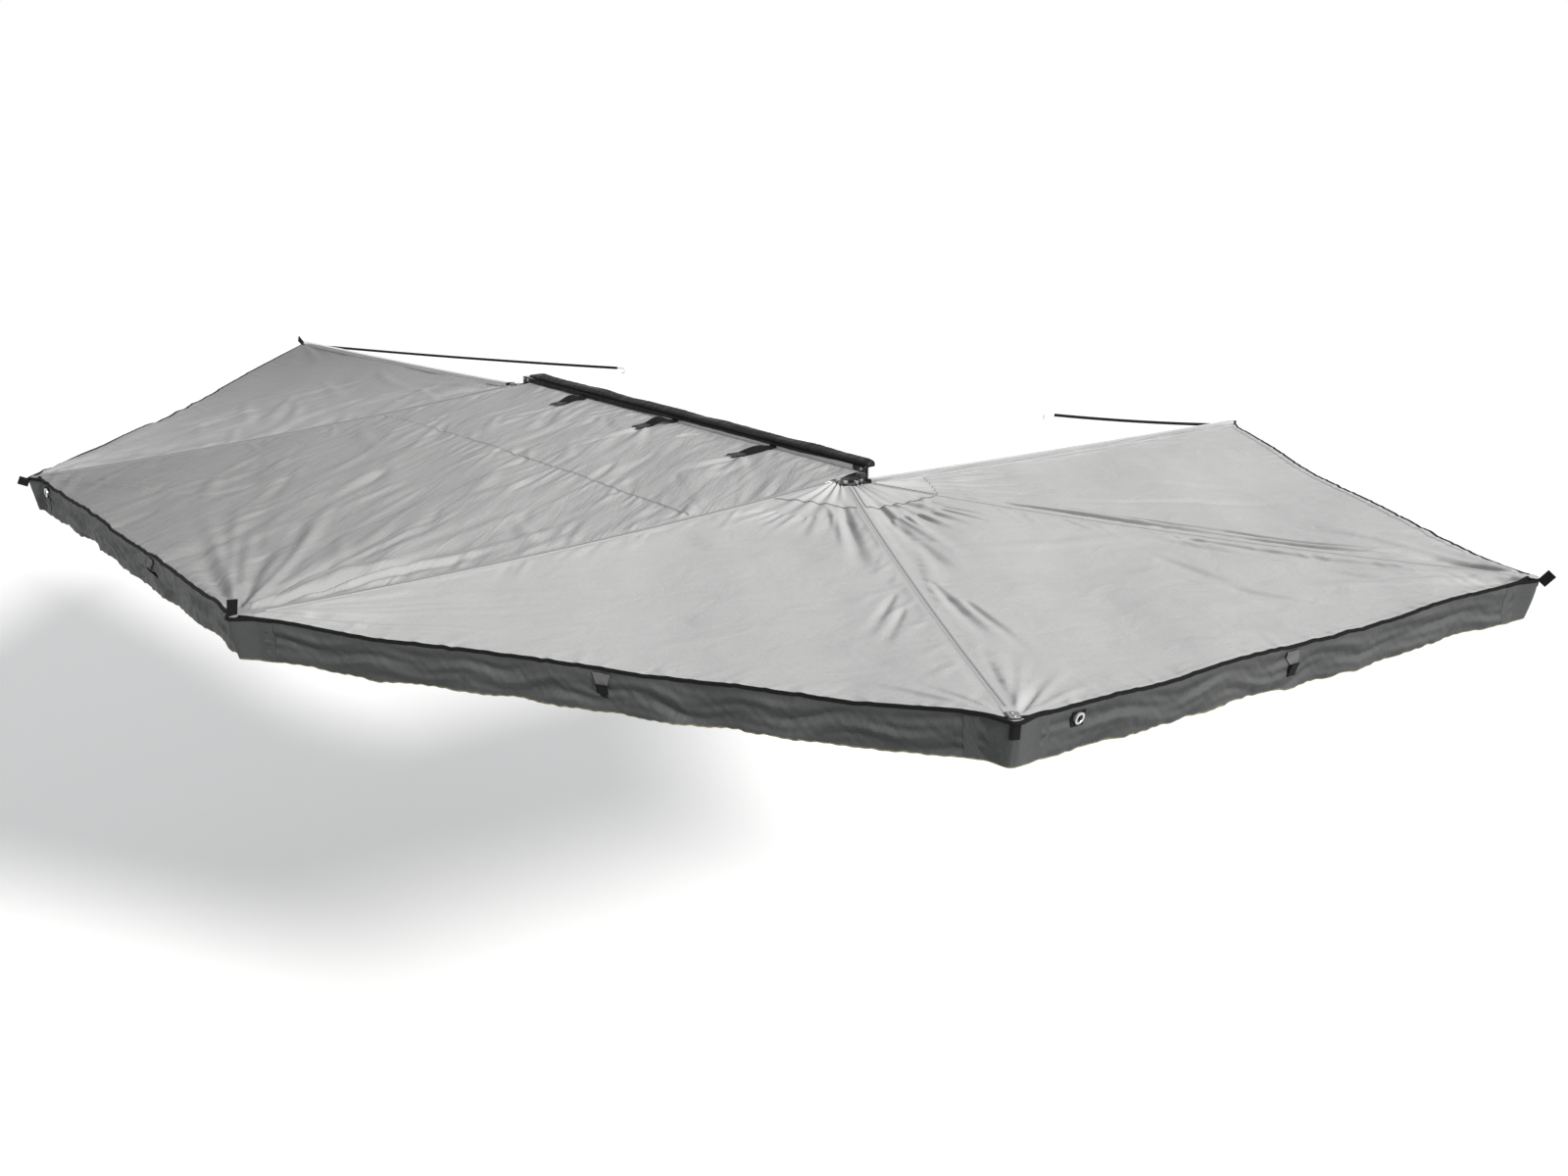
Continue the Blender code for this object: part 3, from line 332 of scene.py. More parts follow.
class Arm:
    def __init__(self, letter, pivot, side):
        self.letter, self.pivot, self.side = letter, pivot, side
        self.bow = LOADED_BOW if side else EDGE_BOW
        self.angle = radians(ANGLES[letter])
        self.along = np.array((sin(self.angle), -cos(self.angle), 0.0))
        self.across = np.array((cos(self.angle), sin(self.angle), 0.0))

    def next_pivot(self):
        return self.pivot + self.side * LANE_PITCH * self.across

    def bowed(self, tube_share):
        share = (TUBE_START + (TUBE_END - TUBE_START) * tube_share) / ARM_LENGTH
        return -ARM_DROP * share - 4 * self.bow * share * (1 - share)

    def centre(self, reach):
        place = TUBE_STEPS * (np.asarray(reach, float) - TUBE_START) / (TUBE_END - TUBE_START)
        step = np.clip(np.floor(place), 0, TUBE_STEPS - 1)
        low, high = self.bowed(step / TUBE_STEPS), self.bowed((step + 1) / TUBE_STEPS)
        return low + (high - low) * (place - step)

    def cloth(self, reach, aside=0.0):
        """Cloth on top of a shared arm, or at half the height of the first or last arm."""
        lift = ARM_HEIGHT / 2 + CLOTH_GAP + CLOTH if self.side else CLOTH / 2
        reach = np.asarray(reach, float)[..., None]
        height = self.centre(reach) + lift
        return self.pivot + reach * self.along + aside * self.across + height * UP


arm_b = Arm("b", np.array((-HINGE_SPACING / 2, FRONT_AXIS_Y, 0.0)), -1)
arm_a = Arm("a", arm_b.next_pivot(), 0)
arm_c = Arm("c", np.array((HINGE_SPACING / 2, REAR_AXIS_Y, 0.0)), 1)
arm_d = Arm("d", arm_c.next_pivot(), 1)
arm_e = Arm("e", arm_d.next_pivot(), 1)
arm_f = Arm("f", arm_e.next_pivot(), 0)
ARMS = {arm.letter: arm for arm in (arm_a, arm_b, arm_c, arm_d, arm_e, arm_f)}
PAIRS = {key: (ARMS[key[0]], ARMS[key[1]]) for key in ("ab", "bc", "cd", "de", "ef")}


# ---------------------------------------------------------------- wrinkles
class Creases:
    """Ridges and troughs of one panel. Each has a start, a direction, a length, a width and a rise."""

    def __init__(self):
        self.ridges = []

    def add(self, start, direction, length, width, rise, bend=0.0, onset=0.35):
        """onset is low for a crease that starts sharply at a seam, and 1 for one that fades in."""
        direction = np.asarray(direction[:2], float)
        direction = direction / np.linalg.norm(direction)
        self.ridges.append((np.asarray(start[:2], float), direction, length, width, rise, bend, onset))

    def along_line(self, start, end, count, heading, lengths, widths, rises, spread=12.0, bend=0.1):
        """Creases that leave a line, all in about the same direction, in degrees."""
        start, end = np.asarray(start[:2], float), np.asarray(end[:2], float)
        for k in range(count):
            share = (k + rng.uniform(0.05, 0.95)) / count
            self.free(start + share * (end - start), heading, lengths, widths, rises, spread, bend, 0.35)

    def scattered(self, corner, far_corner, count, heading, lengths, widths, rises, spread=14.0, bend=0.15):
        """Creases that grow in and die away, anywhere in a box."""
        for _ in range(count):
            place = rng.uniform(corner, far_corner)
            self.free(place, heading, lengths, widths, rises, spread, bend, 1.0)

    def free(self, place, heading, lengths, widths, rises, spread, bend, onset):
        turn = radians(heading + rng.normal(0, spread))
        rise = rng.uniform(*rises) * rng.choice((1, 1, -1))
        sizes = rng.uniform(*lengths), rng.uniform(*widths), rise, rng.normal(0, bend)
        self.add(place, (cos(turn), sin(turn)), *sizes, onset)

    def round_point(self, centre, count, angles, start_radius, lengths, widths, rises, spread=3.0, bend=0.05):
        """Creases that run outwards from a point, between two angles in degrees."""
        centre = np.asarray(centre[:2], float)
        for k in range(count):
            turn = angles[0] + (angles[1] - angles[0]) * (k + rng.uniform(0.2, 0.8)) / count
            direction = np.array((cos(radians(turn)), sin(radians(turn))))
            place = centre + start_radius * rng.uniform(0.97, 1.06) * direction
            self.free(place, turn, lengths, widths, rises, spread, bend, 0.35)

    def height(self, x, y):
        total = np.zeros_like(x)
        for start, direction, length, width, rise, bend, onset in self.ridges:
            along = (x - start[0]) * direction[0] + (y - start[1]) * direction[1]
            aside = -(x - start[0]) * direction[1] + (y - start[1]) * direction[0] - bend * along**2
            near = (along > 0) & (along < length) & (np.abs(aside) < 5 * width)
            if not near.any():
                continue
            share = along[near] / length
            spread = width * (0.6 + 0.8 * share)
            profile = share**onset * (1 - share) ** 1.1 * (1.7 if onset < 1 else 4.2)
            across = np.exp(-((aside[near] / spread) ** 2)) - 0.45 * np.exp(-((aside[near] / (2 * spread)) ** 2))
            total[near] += 1.5 * rise * profile * across
        return total


def smooth(value, low, high):
    share = np.clip((value - low) / (high - low), 0, 1)
    return share * share * (3 - 2 * share)


def swell(x, y, scale, seed, heading=None):
    """Soft broad waves, the same every run. Their crests follow the heading, in degrees, where one is given."""
    made = np.zeros_like(x)
    waves = np.random.default_rng(seed)
    for _ in range(7):
        turn, phase = waves.uniform(0, 2 * pi, 2)
        if heading is not None:
            turn = radians(heading + 90 + waves.normal(0, 22))
        pitch = scale * waves.uniform(0.6, 1.6)
        made += np.sin(2 * pi * (x * cos(turn) + y * sin(turn)) / pitch + phase)
    return made / 7


SEAM_Y = -0.69
creases = {key: Creases() for key in PAIRS}
SMALL, MIDDLING, BROAD, LONG = (0.012, 0.019), (0.016, 0.026), (0.022, 0.040), (0.018, 0.034)
# Panel, arm, how far aside and along it starts, its turn from the arm, then its length, width and rise.
BESIDE_ARMS = (
    ("cd", "d", -0.046, 0.17, -5, 0.70, 0.022, -0.0160),
    ("cd", "d", -0.090, 0.22, -3, 0.45, 0.018, 0.0090),
    ("de", "d", 0.050, 0.17, 6, 0.80, 0.024, -0.0150),
    ("de", "d", 0.110, 0.24, 9, 0.55, 0.020, 0.0090),
    ("cd", "d", -0.060, 1.02, -24, 0.34, 0.016, -0.0090),
    ("cd", "d", -0.060, 1.13, -22, 0.30, 0.015, -0.0080),
    ("de", "d", 0.050, 0.95, 5, 0.50, 0.018, -0.0110),
    ("de", "d", 0.100, 1.10, 9, 0.40, 0.015, -0.0095),
    ("ef", "e", 0.040, 0.42, 3.0, 0.90, 0.018, -0.0190),
    ("ef", "e", 0.110, 0.60, 1.0, 0.80, 0.016, -0.0140),
    ("ef", "e", 0.055, 0.95, 0.5, 0.80, 0.020, -0.0220),
    ("ef", "e", 0.120, 1.10, -2.5, 0.60, 0.015, -0.0130),
    ("de", "e", -0.055, 1.00, -1.0, 0.75, 0.020, -0.0130),
)


def fill_creases():
    roots = {letter: arm.cloth(0.1) for letter, arm in ARMS.items()}
    tips = {letter: arm.cloth(ARM_LENGTH) for letter, arm in ARMS.items()}
    side = creases["bc"]
    seam = (-0.97, SEAM_Y), (1.05, SEAM_Y)
    rail_edge = (-0.95, CASE_EDGE_Y), (0.95, CASE_EDGE_Y)
    side.along_line(*seam, 34, PULL, (0.14, 0.42), SMALL, (0.0030, 0.0062), 10)
    side.along_line(*seam, 22, PULL + 180, (0.08, 0.26), SMALL, (0.0022, 0.0044), 12)
    side.along_line(*rail_edge, 54, PULL - 8, (0.08, 0.30), SMALL, (0.0024, 0.0050), 12)
    for x in (-0.55, 0.0, 0.57):
        side.round_point((x, -0.15), 8, (-92, -34), 0.03, (0.18, 0.46), MIDDLING, (0.0034, 0.0072))
    side.round_point(tips["c"], 20, (97, 172), 0.06, (0.4, 1.3), LONG, (0.0080, 0.0150), 2.0, 0.06)
    side.round_point(tips["b"], 12, (12, 82), 0.05, (0.35, 1.0), (0.016, 0.032), (0.0034, 0.0066), 2.0, 0.06)
    side.along_line(roots["c"], tips["c"], 26, PULL + 180, (0.12, 0.42), MIDDLING, (0.0026, 0.0060), 14)
    side.along_line(roots["b"], tips["b"], 28, PULL, (0.12, 0.36), SMALL, (0.0026, 0.0052), 14)
    side.along_line(tips["b"], tips["c"], 34, 90, (0.05, 0.20), SMALL, (0.0018, 0.0040), 22)
    side.scattered((-0.9, -1.9), (0.95, -0.75), 70, PULL, (0.22, 0.65), (0.018, 0.036), (0.0030, 0.0066))
    side.scattered((-0.8, -0.6), (0.7, -0.1), 26, PULL, (0.16, 0.42), MIDDLING, (0.0026, 0.0056))

    front = creases["ab"]
    front.round_point((-1.06, -0.06), 12, (-178, -88), 0.14, (0.15, 0.60), MIDDLING, (0.0024, 0.0052))
    front.along_line(roots["b"], tips["b"], 24, PULL + 180, (0.12, 0.40), MIDDLING, (0.0026, 0.0054), 16)
    front.round_point(tips["b"], 14, (100, 160), 0.05, (0.35, 1.3), LONG, (0.0060, 0.0120), 2.0)
    front.round_point(tips["a"], 8, (-40, -5), 0.05, (0.3, 1.0), LONG, (0.0030, 0.0062), 2.0)
    front.along_line(tips["a"], tips["b"], 28, 30, (0.05, 0.22), SMALL, (0.0014, 0.0034), 20)
    front.scattered((-2.2, -1.2), (-1.1, -0.15), 34, PULL, (0.25, 0.8), (0.020, 0.040), (0.0030, 0.0062), 20)

    for key, sector in (("cd", (-88, -31)), ("de", (-27, 25)), ("ef", (29, 92))):
        first, last = key
        made = creases[key]
        hub = (roots[first] + roots[last]) / 2
        made.round_point(hub, 12, sector, 0.262, (0.08, 0.30), (0.010, 0.018), (0.0022, 0.0046), 2.0)
        for letter, heading in ((first, sector[0] + 35), (last, sector[1] - 35)):
            made.along_line(roots[letter], tips[letter], 18, heading, (0.08, 0.28), SMALL, (0.0016, 0.0036), 12)
        inward = sum(sector) / 2 + 180
        made.along_line(tips[first], tips[last], 30, inward, (0.05, 0.18), SMALL, (0.0012, 0.0030), 20)
    steep = (0.012, 0.020), (0.0028, 0.0060)
    creases["cd"].round_point(tips["d"], 9, (168, 232), 0.03, (0.12, 0.45), *steep, 3.0)
    creases["de"].round_point(tips["d"], 13, (88, 150), 0.03, (0.14, 0.55), *steep, 3.0)
    creases["cd"].round_point(tips["c"], 9, (35, 82), 0.03, (0.25, 0.8), (0.016, 0.028), (0.0024, 0.0050), 3.0)
    creases["de"].round_point(tips["e"], 8, (205, 262), 0.03, (0.25, 0.8), LONG, (0.0028, 0.0056), 3.0)
    creases["ef"].round_point(tips["e"], 9, (158, 204), 0.05, (0.4, 1.2), (0.026, 0.046), (0.0040, 0.0080), 2.0)
    creases["ef"].scattered((1.2, 0.1), (2.3, 1.2), 10, 30, (0.3, 0.9), BROAD, (0.0020, 0.0040), 12)
    creases["de"].scattered((1.4, -0.7), (2.6, 0.3), 8, 20, (0.4, 0.9), BROAD, (0.0016, 0.0032), 16)
    for key, letter, aside, reach, turn, *size in BESIDE_ARMS:
        heading = radians(ANGLES[letter] - 90 + turn)
        creases[key].add(ARMS[letter].cloth(reach, aside), (cos(heading), sin(heading)), *size, 0.0, 0.6)


fill_creases()


# ---------------------------------------------------------------- cloth surfaces
def fan_base(first, second, share, out):
    """The smooth panel between two arms of one hinge, as the CAD has it."""
    spread = second.angle - first.angle
    angle = first.angle + share * spread
    straight = np.cos(spread / 2) / np.cos(spread * (share - 0.5))
    belly = 4 * share * (1 - share)
    outer = ARM_LENGTH * straight * (1 - 0.65 * EDGE_CURVE * belly)
    reach = HUB_CLEARANCE + (outer - HUB_CLEARANCE) * out
    low, high = first.cloth(reach)[..., 2], second.cloth(reach)[..., 2]
    near_hub = np.maximum(0.0, 1 - (reach - HUB_CLEARANCE) / PLEAT_REACH)
    height = low + (high - low) * share
    height += PLEAT_DEPTH * near_hub * belly * np.sin(2 * pi * PLEAT_COUNT * share) - PANEL_SAG * belly * out
    along = np.stack((np.sin(angle), -np.cos(angle), np.zeros_like(angle)), -1)
    across = np.stack((np.cos(angle), np.sin(angle), np.zeros_like(angle)), -1)
    pivot = first.pivot + (second.pivot - first.pivot) * share[..., None]
    rest = (REST_WIDTH * (1 - 2 * share))[..., None]
    return pivot + reach[..., None] * along + rest * across + height[..., None] * UP


def side_end(arm, inward, out, rest_width):
    """The long panel's end over an arm, which leaves the rail at a drawn-in corner."""
    corner = np.array((arm.pivot[0] + inward * (CORNER_INSET + rest_width), CASE_EDGE_Y, CASE_EDGE_HEIGHT))
    rest = arm.cloth(HUB_CLEARANCE, inward * rest_width)
    near = (out / HUB_SHARE)[..., None]
    return np.where(near < 1, corner + (rest - corner) * near, arm.cloth(ARM_LENGTH * out, inward * rest_width))


def side_base(share, out):
    """The smooth long side panel, from the keder rail to the outer edge, as the CAD has it."""
    front, rear = side_end(arm_b, 1, out, REST_WIDTH), side_end(arm_c, -1, out, REST_WIDTH)
    point = front + (rear - front) * share[..., None]
    belly = 4 * share * (1 - share)
    hem_height = arm_b.cloth(ARM_LENGTH)[2]
    taut = CASE_EDGE_HEIGHT + (hem_height - CASE_EDGE_HEIGHT) * out
    near_arm = np.abs(2 * share - 1) ** 3
    point[..., 2] = near_arm * point[..., 2] + (1 - near_arm) * taut - HEM_SAG * belly * out**2
    point[..., 1] += 0.55 * EDGE_CURVE * ARM_LENGTH * belly * out**2
    return point


def arm_distance(point, arm):
    """How far points are from an arm's line, seen from above."""
    rel = point[..., :2] - arm.pivot[:2]
    return np.abs(rel[..., 0] * arm.across[0] + rel[..., 1] * arm.across[1])


def surface(key, share, out):
    """The panel with its creases, and none where the cloth lies on its arms or on the rail."""
    first, second = PAIRS[key]
    point = side_base(share, out) if key == "bc" else fan_base(first, second, share, out)
    x, y = point[..., 0], point[..., 1]
    free = smooth(np.minimum(arm_distance(point, first), arm_distance(point, second)), 0.012, 0.045)
    if key == "bc":
        free = free * smooth(out, 0.0, 0.012)
    heading = PULL if key in ("ab", "bc") else None
    broad, small = swell(x, y, 0.50, 11, heading), swell(x, y, 0.17, 12, heading)
    point[..., 2] += (creases[key].height(x, y) + 0.011 * broad + 0.0022 * small) * free
    return point


def unit(vector):
    return vector / np.linalg.norm(vector, axis=-1, keepdims=True)


def normals_of(grid, toward=UP):
    normal = np.cross(np.gradient(grid, axis=1), np.gradient(grid, axis=0))
    normal = normal / np.maximum(np.linalg.norm(normal, axis=-1, keepdims=True), 1e-12)
    return -normal if np.sum(normal @ toward) < 0 else normal


def run_of(line):
    """How far along a line each of its points is."""
    return np.concatenate(([0], np.cumsum(np.linalg.norm(np.diff(line, axis=0), axis=1))))


def sample(wanted, places, line):
    return np.stack([np.interp(wanted, places, line[:, k]) for k in range(3)], -1)


def paired(first, second):
    """Two values for each point, such as its UVs."""
    return np.stack(np.broadcast_arrays(first, second), -1)


# ---------------------------------------------------------------- meshes
def mesh_object(name, points, faces, material, uv=None, sharp=None):
    """A smooth-shaded object, with a UV for each point and an angle for its sharp edges where they are given."""
    mesh = bpy.data.meshes.new(name)
    mesh.from_pydata([tuple(point) for point in points], [], faces)
    if uv is not None:
        loops = np.zeros(len(mesh.loops), np.int32)
        mesh.loops.foreach_get("vertex_index", loops)
        flat = uv.reshape(-1, 2)[loops].ravel().astype(np.float32)
        mesh.uv_layers.new(name="UVMap").data.foreach_set("uv", flat)
    mesh.materials.append(material)
    mesh.shade_smooth()
    if sharp:
        mesh.set_sharp_from_angle(angle=radians(sharp))
    made = bpy.data.objects.new(name, mesh)
    scene.collection.objects.link(made)
    return made


def lattice(rows, columns, closed_rows=False, closed_columns=False, flip=False):
    """Quads over a grid of points, which may close on itself either way."""
    index = np.arange(rows * columns).reshape(rows, columns)
    below, beside = np.roll(index, -1, 0), np.roll(index, -1, 1)
    quads = np.stack((index, beside, np.roll(below, -1, 1), below), -1)
    quads = quads[:None if closed_rows else -1, :None if closed_columns else -1].reshape(-1, 4)
    return quads[:, [0, 3, 2, 1]] if flip else quads


def cloth_object(name, grid, uv, material, thickness=0.001, normals=None):
    """A thin closed sheet over a grid of points, its upper face at the points."""
    rows, columns = grid.shape[:2]
    normals = normals_of(grid) if normals is None else np.broadcast_to(normals, grid.shape)
    top = grid.reshape(-1, 3)
    points = np.concatenate((top, (grid - thickness * normals).reshape(-1, 3)))
    shift = rows * columns
    index = np.arange(shift).reshape(rows, columns)
    quads = lattice(rows, columns)
    a, b, c = top[quads[0, :3]]
    if np.cross(b - a, c - a) @ normals[0, 0] < 0:
        quads = quads[:, ::-1]
    rim = np.concatenate((index[0, :], index[1:, -1], index[-1, -2::-1], index[-2:0:-1, 0]))
    ahead = np.roll(rim, -1)
    sides = np.stack((rim, ahead, ahead + shift, rim + shift), -1)
    faces = np.concatenate((quads, quads[:, ::-1] + shift, sides)).tolist()
    made = mesh_object(name, points.tolist(), faces, material, np.tile(uv.reshape(-1, 2), (2, 1)))
    upper = normals.reshape(-1, 3)
    made.data.normals_split_custom_set_from_vertices(np.concatenate((upper, -upper)).tolist())
    made.data.update()
    return made


def tube_object(name, grid, uv, material, flip=False):
    """A skin round rings of points, with flat ends."""
    rings, sides = grid.shape[:2]
    first, last = list(range(sides)), list(range((rings - 1) * sides, rings * sides))
    ends = [first, last[::-1]] if flip else [first[::-1], last]
    faces = lattice(rings, sides, False, True, flip).tolist() + ends
    return mesh_object(name, grid.reshape(-1, 3).tolist(), faces, material, uv)


def profile_strip(name, line, outward, profile, material, thickness=0.0009):
    """A strip whose cross-section is the same all along an edge, from (outwards, upwards) offsets."""
    profile = np.asarray(profile, float)
    along = np.gradient(profile, axis=0)
    facing = unit(np.stack((-along[:, 1], along[:, 0]), -1))
    grid = line[None] + profile[:, None, :1] * outward[None] + profile[:, None, 1:] * UP
    normals = facing[:, None, :1] * outward[None] + facing[:, None, 1:] * UP
    uv = paired(run_of(line)[None, :], run_of(profile)[:, None])
    return cloth_object(name, grid, uv, material, thickness, normals)


def strip(name, line, across, half_width, material, thickness=0.0013, toward=None):
    """Flat webbing along a line. The face turns with the line, and UVs run across and along in metres."""
    line = np.asarray(line, float)
    across = np.broadcast_to(np.asarray(across, float), line.shape)
    sides = half_width * np.linspace(-1, 1, 5)
    grid = line[:, None] + across[:, None] * sides[:, None]
    facing = unit(np.cross(across, np.gradient(line, axis=0)))
    if toward is not None and np.sum(facing @ np.asarray(toward)) < 0:
        facing = -facing
    return cloth_object(name, grid, paired(sides[None], run_of(line)[:, None]), material, thickness, facing[:, None])


def spline(points, count):
    """A smooth line through points."""
    points = np.asarray(points, float)
    ends = np.concatenate((2 * points[:1] - points[1:2], points, 2 * points[-1:] - points[-2:-1]))
    made = []
    for value in np.linspace(0, len(points) - 1, count):
        k = min(int(value), len(points) - 2)
        t = value - k
        p0, p1, p2, p3 = ends[k:k + 4]
        made.append(0.5 * (2 * p1 + (p2 - p0) * t + (2 * p0 - 5 * p1 + 4 * p2 - p3) * t**2
                           + (3 * p1 - p0 - 3 * p2 + p3) * t**3))
    return np.array(made)


def frame_at(origin, x_axis, y_axis):
    x_axis, y_axis = Vector(x_axis).normalized(), Vector(y_axis).normalized()
    z_axis = x_axis.cross(y_axis).normalized()
    y_axis = z_axis.cross(x_axis)
    place = Matrix((x_axis, y_axis, z_axis)).transposed().to_4x4()
    place.translation = Vector(origin)
    return place


def plate(name, outline, low, high, place, material, bevel=0.0012):
    """A moulded or cut plate: an outline, its two faces, and rounded edges."""
    count = len(outline)
    points = [place @ Vector((x, y, z)) for z in (low, high) for x, y in outline]
    faces = [tuple(range(count))[::-1], tuple(range(count, 2 * count))]
    faces += [(k, (k + 1) % count, count + (k + 1) % count, count + k) for k in range(count)]
    made = mesh_object(name, points, faces, material)
    made.data.validate()
    rounding = made.modifiers.new("rounded", "BEVEL")
    rounding.width = bevel
    rounding.segments = 3
    rounding.limit_method = "ANGLE"
    rounding.harden_normals = True
    return made


def lathe(name, profile, place, material, steps=40):
    """A turned part: (radius, height) points round the place's Z axis."""
    turns = [2 * pi * k / steps for k in range(steps)]
    points = [place @ Vector((r * cos(turn), r * sin(turn), z)) for turn in turns for r, z in profile]
    return mesh_object(name, points, lattice(steps, len(profile), True, True, True).tolist(), material, sharp=40)


def merged(name, made):
    """One mesh from several, with their modifiers applied."""
    depsgraph = bpy.context.evaluated_depsgraph_get()
    points, faces = [], []
    material = made[0].data.materials[0]
    for piece in made:
        mesh = piece.evaluated_get(depsgraph).to_mesh()
        base = len(points)
        points += [piece.matrix_world @ vertex.co for vertex in mesh.vertices]
        faces += [tuple(base + index for index in face.vertices) for face in mesh.polygons]
    whole = mesh_object(name, points, faces, material, sharp=35)
    for piece in made:
        bpy.data.objects.remove(piece)
    return whole


# ---------------------------------------------------------------- how pieces move
FOLDS = {"ab": ("arm_b", "arm_a"), "cd": ("arm_c", "arm_d"), "de": ("arm_d", "arm_e"), "ef": ("arm_e", "arm_f")}


def attach(piece, body, node=None):
    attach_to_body(piece, body)
    if node:
        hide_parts(node)
    return piece


def follow(piece, key, share, node=None):
    """A piece of a folding panel has its place baked into its mesh. On the long panel it is attached to the root and
    keeps its own mesh.

    share, how far round each point would follow the second arm or the name of the half, is not used.
    """
    if key in FOLDS:
        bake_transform(piece)
    else:
        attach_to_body(piece, "root")
        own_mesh(piece)
    if node:
        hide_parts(node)
    return piece


# ---------------------------------------------------------------- panels
COLUMNS, ROWS = 230, 190
COLLAR_REACH = 0.047
PANEL_CLOTH = {"ab": cloth_front, "bc": cloth_left, "cd": cloth_right, "de": cloth_right, "ef": cloth_right}
hems = {}
panels = {}
trims = {key: [] for key in PAIRS}


def out_at(reach):
    return (reach - HUB_CLEARANCE) / FAN_REACH


def panel_uv(key, grid):
    first, second = PAIRS[key]
    middle = (first.angle + second.angle) / 2
    x, y = grid[..., 0], grid[..., 1]
    return paired(x * cos(middle) + y * sin(middle), x * sin(middle) - y * cos(middle))


def arm_edge(arm, inward, reach):
    aside = 0.0 if arm.side else ARM_WIDTH / 2 + CLOTH_GAP
    return arm.cloth(reach, inward * aside)[:, None, :]


def make_fan_panel(key):
    """A panel between two arms, from the drawn-in edge round the hinge to the outer edge."""
    first, second = PAIRS[key]
    shares = np.linspace(0, 1, COLUMNS)
    outs = np.concatenate((np.linspace(out_at(COLLAR_REACH), 0, 7)[:-1], np.linspace(0, 1, ROWS) ** 0.85))
    share, out = np.meshgrid(shares, outs)
    free = surface(key, share, out)
    reach = HUB_CLEARANCE + FAN_REACH * outs
    grid = np.concatenate((arm_edge(first, 1, reach), free, arm_edge(second, -1, reach)), axis=1)
    made = cloth_object(f"canopy_panel_{key}", grid, panel_uv(key, grid), PANEL_CLOTH[key])
    follow(made, key, np.pad(share, ((0, 0), (1, 1)), "edge"), node=f"canopy_{key}")
    panels[key] = [(made, grid)]
    hems[key] = (shares, free[-1])


def make_side_panel():
    shares = np.linspace(0, 1, 321)
    outs = np.concatenate((np.linspace(0, HUB_SHARE, 12)[:-1], HUB_SHARE + (1 - HUB_SHARE) * np.linspace(0, 1, 250)))
    free = surface("bc", *np.meshgrid(shares, outs))
    front, rear = (side_end(arm, inward, outs, 0.0)[:, None] for arm, inward in ((arm_b, 1), (arm_c, -1)))
    grid = np.concatenate((front, free, rear), axis=1)
    normals, uv = normals_of(grid), panel_uv("bc", grid)
    middle = grid.shape[1] // 2
    panels["bc"] = []
    for half, part in (("front", slice(0, middle + 1)), ("rear", slice(middle, None))):
        cut = grid[:, part]
        made = cloth_object(f"canopy_panel_bc_{half}", cut, uv[:, part], cloth_left, normals=normals[:, part])
        panels["bc"].append((follow(made, "bc", half, node="canopy_bc"), cut))
    hems["bc"] = (shares, free[-1])
    return grid


for key in FOLDS:
    make_fan_panel(key)
side_grid = make_side_panel()


def side_height(x, y):
    """Height of the long panel under a place, from its nearest grid points."""
    points = side_grid.reshape(-1, 3)
    gap = np.linalg.norm(points[:, :2] - (x, y), axis=1)
    near = np.argsort(gap)[:4]
    share = 1 / np.maximum(gap[near], 1e-6)
    return float(np.sum(points[near, 2] * share) / np.sum(share))


# ---------------------------------------------------------------- hems and valances
# Steps across the binding and across the turned hem, as (outwards, upwards) and (inwards, upwards).
HEM_BAND = [(0.0022, -0.0044), (0.0030, -0.0036), (0.0034, -0.0020), (0.0034, -0.0006), (0.0026, 0.0012),
            (0.0008, 0.0022), (-0.0020, 0.0022), (-0.0041, 0.0015), (-0.0046, 0.0005)]
HEM_FOLD = np.array([(0.0320, 0.0002), (0.0310, 0.0012), (0.0200, 0.0014), (0.0090, 0.0013), (0.0050, 0.0004)])
HEM_POINTS = 420
# Height of a set of valance folds, its turns down the drop and along a metre, and how far it strays.
VALANCE_FOLDS = ((0.0056, 1.45, 0.75, 0.45), (0.0027, 2.6, -1.5, 0.7), (0.0013, 4.1, 2.6, 1.1))


def outward_of(key):
    line = hems[key][1]
    return unit(np.cross(line[-1] - line[0], UP))


def hem_length(key):
    line = hems[key][1]
    return np.linalg.norm(line[-1] - line[0])


def half_of(key, share):
    return None if key in FOLDS else "front" if share < 0.5 else "rear"


def halves(key):
    """The parts a hem is cut into, each with its share range and how it moves."""
    return [("", 0.0, 1.0, None)] if key in FOLDS else [("_front", 0.0, 0.5, "front"), ("_rear", 0.5, 1.0, "rear")]


def make_hem(key):
    shares = np.linspace(0, 1, HEM_POINTS)
    line = sample(shares, *hems[key])
    outward = unit(np.cross(np.gradient(line, axis=0), UP))
    outward *= np.sign(outward @ outward_of(key))[:, None]
    for tail, low, high, half in halves(key):
        part = (shares >= low - 1e-9) & (shares <= high + 1e-9)
        if half == "rear":
            part[np.argmax(part) - 1] = True
        share, inset = np.meshgrid(shares[part], HEM_FOLD[:, 0])
        grid = surface(key, share, 1 - inset / FAN_REACH)
        grid[..., 2] += HEM_FOLD[:, 1:]
        fold = cloth_object(f"hem_fold_{key}{tail}", grid, panel_uv(key, grid), PANEL_CLOTH[key], 0.0009)
        band = profile_strip(f"hem_binding_{key}{tail}", line[part], outward[part], HEM_BAND, binding)
        weights = np.broadcast_to(shares[part][None], (len(HEM_BAND), part.sum()))
        follow(fold, key, half or share)
        follow(band, key, half or weights)
        trims[key] += [(half, fold), (half, band)]


def ripple(s, phase, pitches, seed):
    waves = np.random.default_rng(seed)
    made = np.zeros_like(s)
    for pitch in pitches:
        made += np.sin(2 * pi * s / (pitch * waves.uniform(0.8, 1.25)) + phase + waves.uniform(0, 6.3))
    return made / len(pitches)


